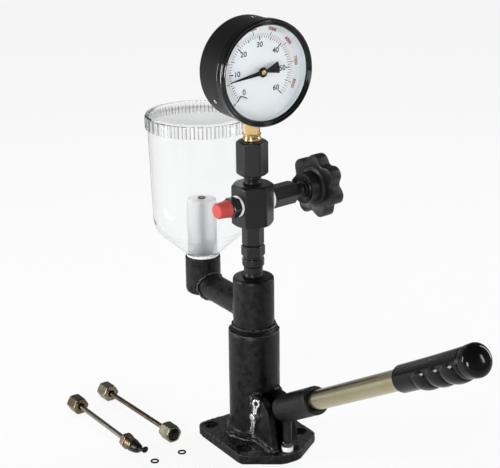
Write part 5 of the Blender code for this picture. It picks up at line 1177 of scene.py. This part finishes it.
def make_scales():
    """Plain figures and ticks: 0 to 60 inside in black, 0 to 8000 outside in red."""
    units = np.arange(0, 61)
    tens, fives = units % 10 == 0, units % 5 == 0
    inner = np.where(tens, 30.4, np.where(fives, 31.6, 32.8))
    width = np.where(tens, 0.52, np.where(fives, 0.38, 0.27))
    piece("scale_black", tick_marks(units, INNER_FULL, inner, 35.2, width),
          "dial black", "root", (), GAUGE, sharp=0)
    hundreds = np.arange(0, 8701, 100)
    thousands = hundreds % 1000 == 0
    outer = np.where(thousands, 39.6, np.where(hundreds % 500 == 0, 38.4, 37.6))
    width = np.where(thousands, 0.34, 0.15)
    piece("scale_red", tick_marks(hundreds, OUTER_FULL, 35.6, outer, width),
          "dial red", "root", (), GAUGE, sharp=0)
    figures = []
    for value in range(0, 61, 10):
        angle = SCALE_START - SCALE_SWEEP * value / INNER_FULL
        figures.append((str(value), 26.2, angle, 0.0, 7.4))
    dress(text_mesh("figures_black", figures, 0.0154), "dial black", "root", (), sharp=0)
    quarter = math.pi / 2
    figures = [("0", 41.6, SCALE_START, SCALE_START - quarter, 4.2)]
    for value in range(1000, 8001, 1000):
        angle = SCALE_START - SCALE_SWEEP * value / OUTER_FULL
        figures.append((str(value), 42.4, angle, angle - quarter, 4.7))
    dress(text_mesh("figures_red", figures, 0.0154), "dial red", "root", (), sharp=0)
    angle = np.radians(np.array([225.5, 225.0, 224.0, 223.6, 226.5, 232.0, 238.0]))
    radius = np.array([37.6, 35.4, 33.2, 31.8, 30.4, 29.4, 29.1]) * MM
    hook = swept(ringed(radius, 0.0159, angle), 0.00045, UP, 10)
    piece("zero_stop", [hook], "dial black", "root", (), GAUGE, sharp=60)


# Pipes and rings beside the tester

def pipe_placement(start, end):
    """Placement of a pipe that lies with its nuts' flats on the floor."""
    start, end = np.array((*start, 8.5)) * MM, np.array((*end, 8.5)) * MM
    return placement(start, end - start, UP), np.linalg.norm(end - start) / MM


def flipped(corners, middle, mouth):
    """Corners written for a mouth at +Z, turned over where the mouth is at -Z, and moved."""
    rows = [(r, middle + mouth * z, *rest) for r, z, *rest in corners]
    return rows if mouth > 0 else rows[::-1]


def union_nut(name, finish, body, node, place, middle, mouth):
    """Union nut: chamfered hexagon, a threaded mouth and a narrow hole for the pipe."""
    half, pitch = 8.25, 1.5
    threads = []
    for k in range(5):
        z = half - 1.4 - pitch * k
        threads += [(6.2, z, 0.1), (6.6, z - pitch / 2, 0.1)]
    corners = [(3.9, -half, 0.3), (7.9, -half, 0.3), (10.8, -half + 1.55, 0.1),
               (10.8, half - 1.55, 0.1), (8.0, half, 0.3), (7.0, half, 0.2),
               (6.4, half - 0.8, 0.1)] + threads + [(6.2, -4.25), (3.9, -4.25)]
    profile = softened(flipped(corners, middle, mouth), closed=True)
    piece(name, [barred(profile, 0.0170, 6, 0.0)], finish, body, (node,), place)


def pipe_grid(length, both):
    """Drilled pipe with an upset head at the start, and one at the end where both is set."""
    head = [(2.7, -6.2, 0.4), (4.9, -4.4, 0.5), (5.0, 0.1, 0.4), (2.7, 3.9, 0.3)]
    corners = [(0.75, -6.2)] + head
    if both:
        corners += [(r, length - z, s) for r, z, s in reversed(head)] + [(0.75, length + 6.2)]
    else:
        corners += [(2.7, length - 0.3, 0.3), (0.75, length - 0.3)]
    return turned(softened(corners, closed=True), 48, True)


def plug_corners(middle, mouth):
    """Rubber plug with a short grip and a ring-shaped lip."""
    corners = [(0, 2.0), (5.6, 2.0, 0.3), (5.6, 7.9, 0.3), (3.1, 8.3, 0.4), (3.0, 10.0, 0.3),
               (3.3, 11.1, 0.5), (0, 11.2)]
    return flipped(corners, middle, mouth)


class TESTER_OT_pipes(bpy.types.Operator):
    """Lay the two injector pipes and the two sealing rings beside the tester"""
    bl_idname = "tester.pipes"
    bl_label = "Pipes and rings"

    def execute(self, context):
        pitch = context.scene.tester_sizes.thread_pitch
        place, length = pipe_placement((-86.7, 173.1), (-78.5, 45.6))
        piece("pipe_1_tube", [pipe_grid(length, True)], "brown zinc", "root", ("pipe_1",), place)
        union_nut("pipe_1_hex_a", "olive zinc", "pipe_1_nut_a", "pipe_1_nut_a", place, 0.0, -1)
        union_nut("pipe_1_hex_b", "olive zinc", "pipe_1_nut_b", "pipe_1_nut_b", place, length, 1)
        piece("pipe_1_stopper", [turned(softened(plug_corners(length, 1)), 48)], "black rubber",
              "pipe_1_plug", ("pipe_1_plug",), place)
        place, length = pipe_placement((-129.7, 162.1), (-126.2, 56.0))
        piece("pipe_2_tube", [pipe_grid(length, False)], "green zinc", "root", ("pipe_2",), place)
        union_nut("pipe_2_hex", "brown zinc", "pipe_2_nut", "pipe_2_nut", place, 0.0, -1)
        piece("pipe_2_stopper", [turned(softened(plug_corners(0.0, -1)), 48)], "black rubber",
              "pipe_2_plug", ("pipe_2_plug",), place)
        self.make_adapter(place, length, pitch)
        for i, (x, y) in enumerate(((-84.0, 11.3), (-117.1, 10.0))):
            turn = round_angles(18)
            ring = np.stack([(3.6 + 0.9 * np.cos(turn)) * MM, 0.9 * np.sin(turn) * MM], 1)
            piece(f"sealing_ring_{i + 1}", [turned(ring, 64, True)], "black rubber", "root",
                  (f"o_ring_{i + 1}",), shifted(x * MM, y * MM, 0.0009))
        return {"FINISHED"}

    def make_adapter(self, place, length, pitch):
        """Adapter: a hexagon, then a helical thread r = r0 + h cos(2 pi (z / pitch) - a)."""
        hexagon = softened([(1.5, length), (7.2, length, 0.3), (9.8, length + 1.3, 0.1),
                            (9.8, length + 5.7, 0.1), (7.2, length + 7.0, 0.3),
                            (6.0, length + 7.05), (6.0, length + 17.5), (1.5, length + 17.5)],
                           closed=True)
        core = barred(hexagon, 0.0150, 6, 0.0, high=(length + 7.04) * MM)
        angle = round_angles(56)
        height = np.linspace(length + 7.02, length + 17.5, 110)[:, None] * MM
        fade = np.clip(np.minimum(height - height[0], height[-1] - height) / 0.0008, 0, 1)
        reach = 0.0066 - 0.0005 * (1 - fade) + 0.0004 * fade * np.cos(TAU * height / pitch - angle)
        points = ringed(reach, height, angle)
        inner = np.broadcast_to(np.array((0.0, 0.0, 1.0)), (1, len(angle), 3))
        thread = np.concatenate([inner * height[0], points, inner * height[-1]])
        piece("adapter_turned", [core, (thread, False, True)], "brown zinc", "root",
              ("pipe_2_adapter",), place)
        start = length + 17.8
        cap = softened([(0, start), (6.2, start, 0.4), (6.15, start + 3.4, 0.8),
                        (5.5, start + 6.9, 1.5), (4.4, start + 10.3, 1.5),
                        (2.2, start + 13.8, 1.5), (2.1, start + 19.3, 1.0),
                        (3.5, start + 21.3, 0.6), (3.6, start + 22.8, 0.3), (0, start + 23.0)], 6)
        points = turned(refined(cap, 0.001), 56)[0]
        share = (points[..., 2] / MM - start) / 23.0
        points[..., 0] += 5.5 * MM * np.clip(share, 0, 1) ** 2
        piece("rubber_end", [(points, False, True)], "black rubber", "pipe_2_cap",
              ("pipe_2_cap",), place)


# Pieces inside the pump, seen through the slot

class TESTER_OT_inside(bpy.types.Operator):
    """Wind the springs and finish the pieces inside the pump and the gauge"""
    bl_idname = "tester.inside"
    bl_label = "Inside pieces"

    def execute(self, context):
        for name, node, end_body, middle, wire, turns in (
                ("pump_spring", "plunger_spring", "plunger", 8.9, 1.05, 7.5),
                ("valve_spring", "delivery_spring", "delivery_valve", 3.0, 0.45, 8.5)):
            low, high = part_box(node)
            low, high = low[2] + wire * MM, high[2] - wire * MM
            share = np.linspace(0, 1, int(turns * 28))
            angle = TAU * turns * share
            flat = 0.5 + 0.5 * np.tanh(5 * (share - 0.5)) / math.tanh(2.5)
            height = low + (high - low) * (0.5 * share + 0.5 * flat)
            path, out = ringed(middle * MM, height, angle), ringed(1.0, 0.0, angle)
            coil = piece(name, [swept(path, wire * MM, out, 12)], "spring steel", None, (node,),
                         sharp=60)
            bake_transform(coil)
        kept = {"pump_barrel": "bright steel", "plunger": "bright steel",
                "spring_seat": "bright steel", "delivery_valve": "bright steel",
                "gauge_movement": "yellow brass", "bourdon_tube": "yellow brass"}
        for node, finish in kept.items():
            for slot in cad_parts[node].material_slots:
                slot.material = bpy.data.materials[finish]
        return {"FINISHED"}


# Studio

class TESTER_OT_studio(bpy.types.Operator):
    """Lay the floor, hang the lamps and set up the camera"""
    bl_idname = "tester.studio"
    bl_label = "Studio"

    def execute(self, context):
        studio = context.scene.tester_studio
        half = studio.floor_half
        corners = np.array([[(-half, -half, 0.0), (half, -half, 0.0)],
                            [(-half, half, 0.0), (half, half, 0.0)]])
        floor = loose_object("studio_floor", [(corners, False, False)])
        if floor.data.polygons[0].normal.z < 0:
            floor.data.flip_normals()
        floor.data.materials.append(self.mix_floor(studio))
        self.hang_lamps(studio)
        self.light_sky()
        self.place_camera()
        context.scene.view_settings.view_transform = "Standard"
        return {"FINISHED"}

    def mix_floor(self, studio):
        """Floor finish: the lit floor with its shadow, and plain white laid over a share of it
        where it is seen straight, through glass or, less at a slant, in a reflection."""
        finish = blank_finish("studio floor", 0.9, base_color=(*studio.floor_colour, 1),
                              specular_ior_level=0.1)
        tree = finish.node_tree
        path = new_node(tree, "LightPath").outputs
        slant = new_node(tree, "LayerWeight").outputs["Facing"]
        fade = ranged(tree, slant, 1.0, 0.06, 0.10, 0.95)
        mirrored = reckoned(tree, "MULTIPLY", path["Is Glossy Ray"], fade)
        straight = reckoned(tree, "MAXIMUM", path["Is Camera Ray"], mirrored)
        seen = reckoned(tree, "MAXIMUM", straight, path["Is Transmission Ray"])
        share = reckoned(tree, "MULTIPLY", seen, studio.white_share)
        white = new_node(tree, "Emission", {"Color": (1, 1, 1, 1), "Strength": 1.0})
        lit = tree.nodes["Principled BSDF"].outputs["BSDF"]
        blend = new_node(tree, "MixShader", {"Fac": share, 1: lit, 2: white.outputs["Emission"]})
        tree.links.new(blend.outputs["Shader"], tree.nodes["Material Output"].inputs["Surface"])
        return finish

    def hang_lamps(self, studio):
        """Soft boxes at the left, at the right, behind and beside the camera."""
        for name, spot, size, power in (
                ("key box", (-1.12, 0.52, 0.34), (0.30, 0.62), studio.key_power),
                ("side box", (1.25, -0.30, 0.60), (0.20, 1.05), studio.rim_power),
                ("top box", (0.42, 0.80, 1.35), (0.60, 0.34), studio.top_power),
                ("front box", (-1.22, -1.10, 0.42), (0.32, 0.50), studio.front_power),
                ("end box", (0.81, -1.25, 0.69), (0.07, 0.40), studio.end_power)):
            lamp = bpy.data.lights.new(name, "AREA")
            lamp.shape = "RECTANGLE"
            lamp.size, lamp.size_y = size
            lamp.energy = power
            thing = bpy.data.objects.new(name, lamp)
            bpy.context.scene.collection.objects.link(thing)
            thing.location = spot
            aim = Vector((0.0, 0.0, 0.22)) - Vector(spot)
            thing.rotation_euler = aim.to_track_quat("-Z", "Y").to_euler()
            thing.visible_glossy = name != "top box"

    def light_sky(self):
        """Dim room, brighter near the horizon than overhead, and white where it is seen straight
        or through glass."""
        world = bpy.data.worlds.new("studio sky")
        bpy.context.scene.world = world
        world.use_nodes = True
        tree = world.node_tree
        where = new_node(tree, "TexCoord").outputs["Generated"]
        height = new_node(tree, "SeparateXYZ", {"Vector": where}).outputs["Z"]
        sky = ramped(tree, height, [(0.0, (0.42, 0.42, 0.43)), (0.55, (0.12, 0.12, 0.122))])
        path = new_node(tree, "LightPath").outputs
        seen = reckoned(tree, "MAXIMUM", path["Is Camera Ray"], path["Is Transmission Ray"])
        blend = new_node(tree, "Mix", {"Factor": seen, "A": sky, "B": (0.97, 0.97, 0.97, 1)},
                         data_type="RGBA")
        background = tree.nodes["Background"]
        tree.links.new(blend.outputs["Result"], background.inputs["Color"])
        background.inputs["Strength"].default_value = 1.0

    def place_camera(self):
        """Camera at the photograph's place, lens and tilt."""
        azimuth, distance, height = math.radians(-32.742), 1.3736, 0.69925
        heading = azimuth + math.radians(0.126)
        sensor, focal_pixels, picture_width = 36.0, 1426.96, 500
        pitch, roll = math.radians(18.907), math.radians(-0.659)
        forward = Vector((-math.sin(heading) * math.cos(pitch),
                          math.cos(heading) * math.cos(pitch), -math.sin(pitch)))
        right = Vector((math.cos(heading), math.sin(heading), 0.0))
        up = right.cross(forward)
        tilted_right = right * math.cos(roll) + up * math.sin(roll)
        tilted_up = up * math.cos(roll) - right * math.sin(roll)
        data = bpy.data.cameras.new("studio camera")
        data.sensor_width, data.sensor_fit = sensor, "HORIZONTAL"
        data.lens = sensor * focal_pixels / picture_width
        data.clip_end = 60.0
        camera = bpy.data.objects.new("studio camera", data)
        bpy.context.scene.collection.objects.link(camera)
        turn = Matrix((tilted_right, tilted_up, -forward)).transposed().to_4x4()
        spot = Vector((distance * math.sin(azimuth), -distance * math.cos(azimuth), height))
        camera.matrix_world = Matrix.Translation(spot) @ turn
        bpy.context.scene.camera = camera


OPERATORS = (TESTER_OT_finishes, TESTER_OT_castings, TESTER_OT_lever, TESTER_OT_stem,
             TESTER_OT_tank, TESTER_OT_gauge, TESTER_OT_pipes, TESTER_OT_inside,
             TESTER_OT_studio)


class TESTER_PT_dressing(bpy.types.Panel):
    """Buttons and values of the injector tester"""
    bl_label = "Injector tester"
    bl_idname = "TESTER_PT_dressing"
    bl_space_type = "VIEW_3D"
    bl_region_type = "UI"
    bl_category = "Tester"

    def draw(self, context):
        for group in (context.scene.tester_colours, context.scene.tester_sizes,
                      context.scene.tester_studio):
            for key in group.bl_rna.properties.keys():
                if key not in ("rna_type", "name"):
                    self.layout.prop(group, key)
        for operator in OPERATORS:
            self.layout.operator(operator.bl_idname)


GROUPS = (TesterColours, TesterSizes, TesterStudio)


def register():
    """Register the property groups, the operators and the panel."""
    for thing in (*GROUPS, *OPERATORS, TESTER_PT_dressing):
        bpy.utils.register_class(thing)
    bpy.types.Scene.tester_colours = bpy.props.PointerProperty(type=TesterColours)
    bpy.types.Scene.tester_sizes = bpy.props.PointerProperty(type=TesterSizes)
    bpy.types.Scene.tester_studio = bpy.props.PointerProperty(type=TesterStudio)


def unregister():
    """Take the classes and the scene's groups away again."""
    del bpy.types.Scene.tester_studio
    del bpy.types.Scene.tester_sizes
    del bpy.types.Scene.tester_colours
    for thing in reversed((*GROUPS, *OPERATORS, TESTER_PT_dressing)):
        bpy.utils.unregister_class(thing)


def main():
    """Build everything in order."""
    register()
    bpy.ops.tester.finishes()
    bpy.ops.tester.castings()
    bpy.ops.tester.lever()
    bpy.ops.tester.stem()
    bpy.ops.tester.tank()
    bpy.ops.tester.gauge()
    bpy.ops.tester.pipes()
    bpy.ops.tester.inside()
    bpy.ops.tester.studio()


if __name__ == "__main__":
    main()
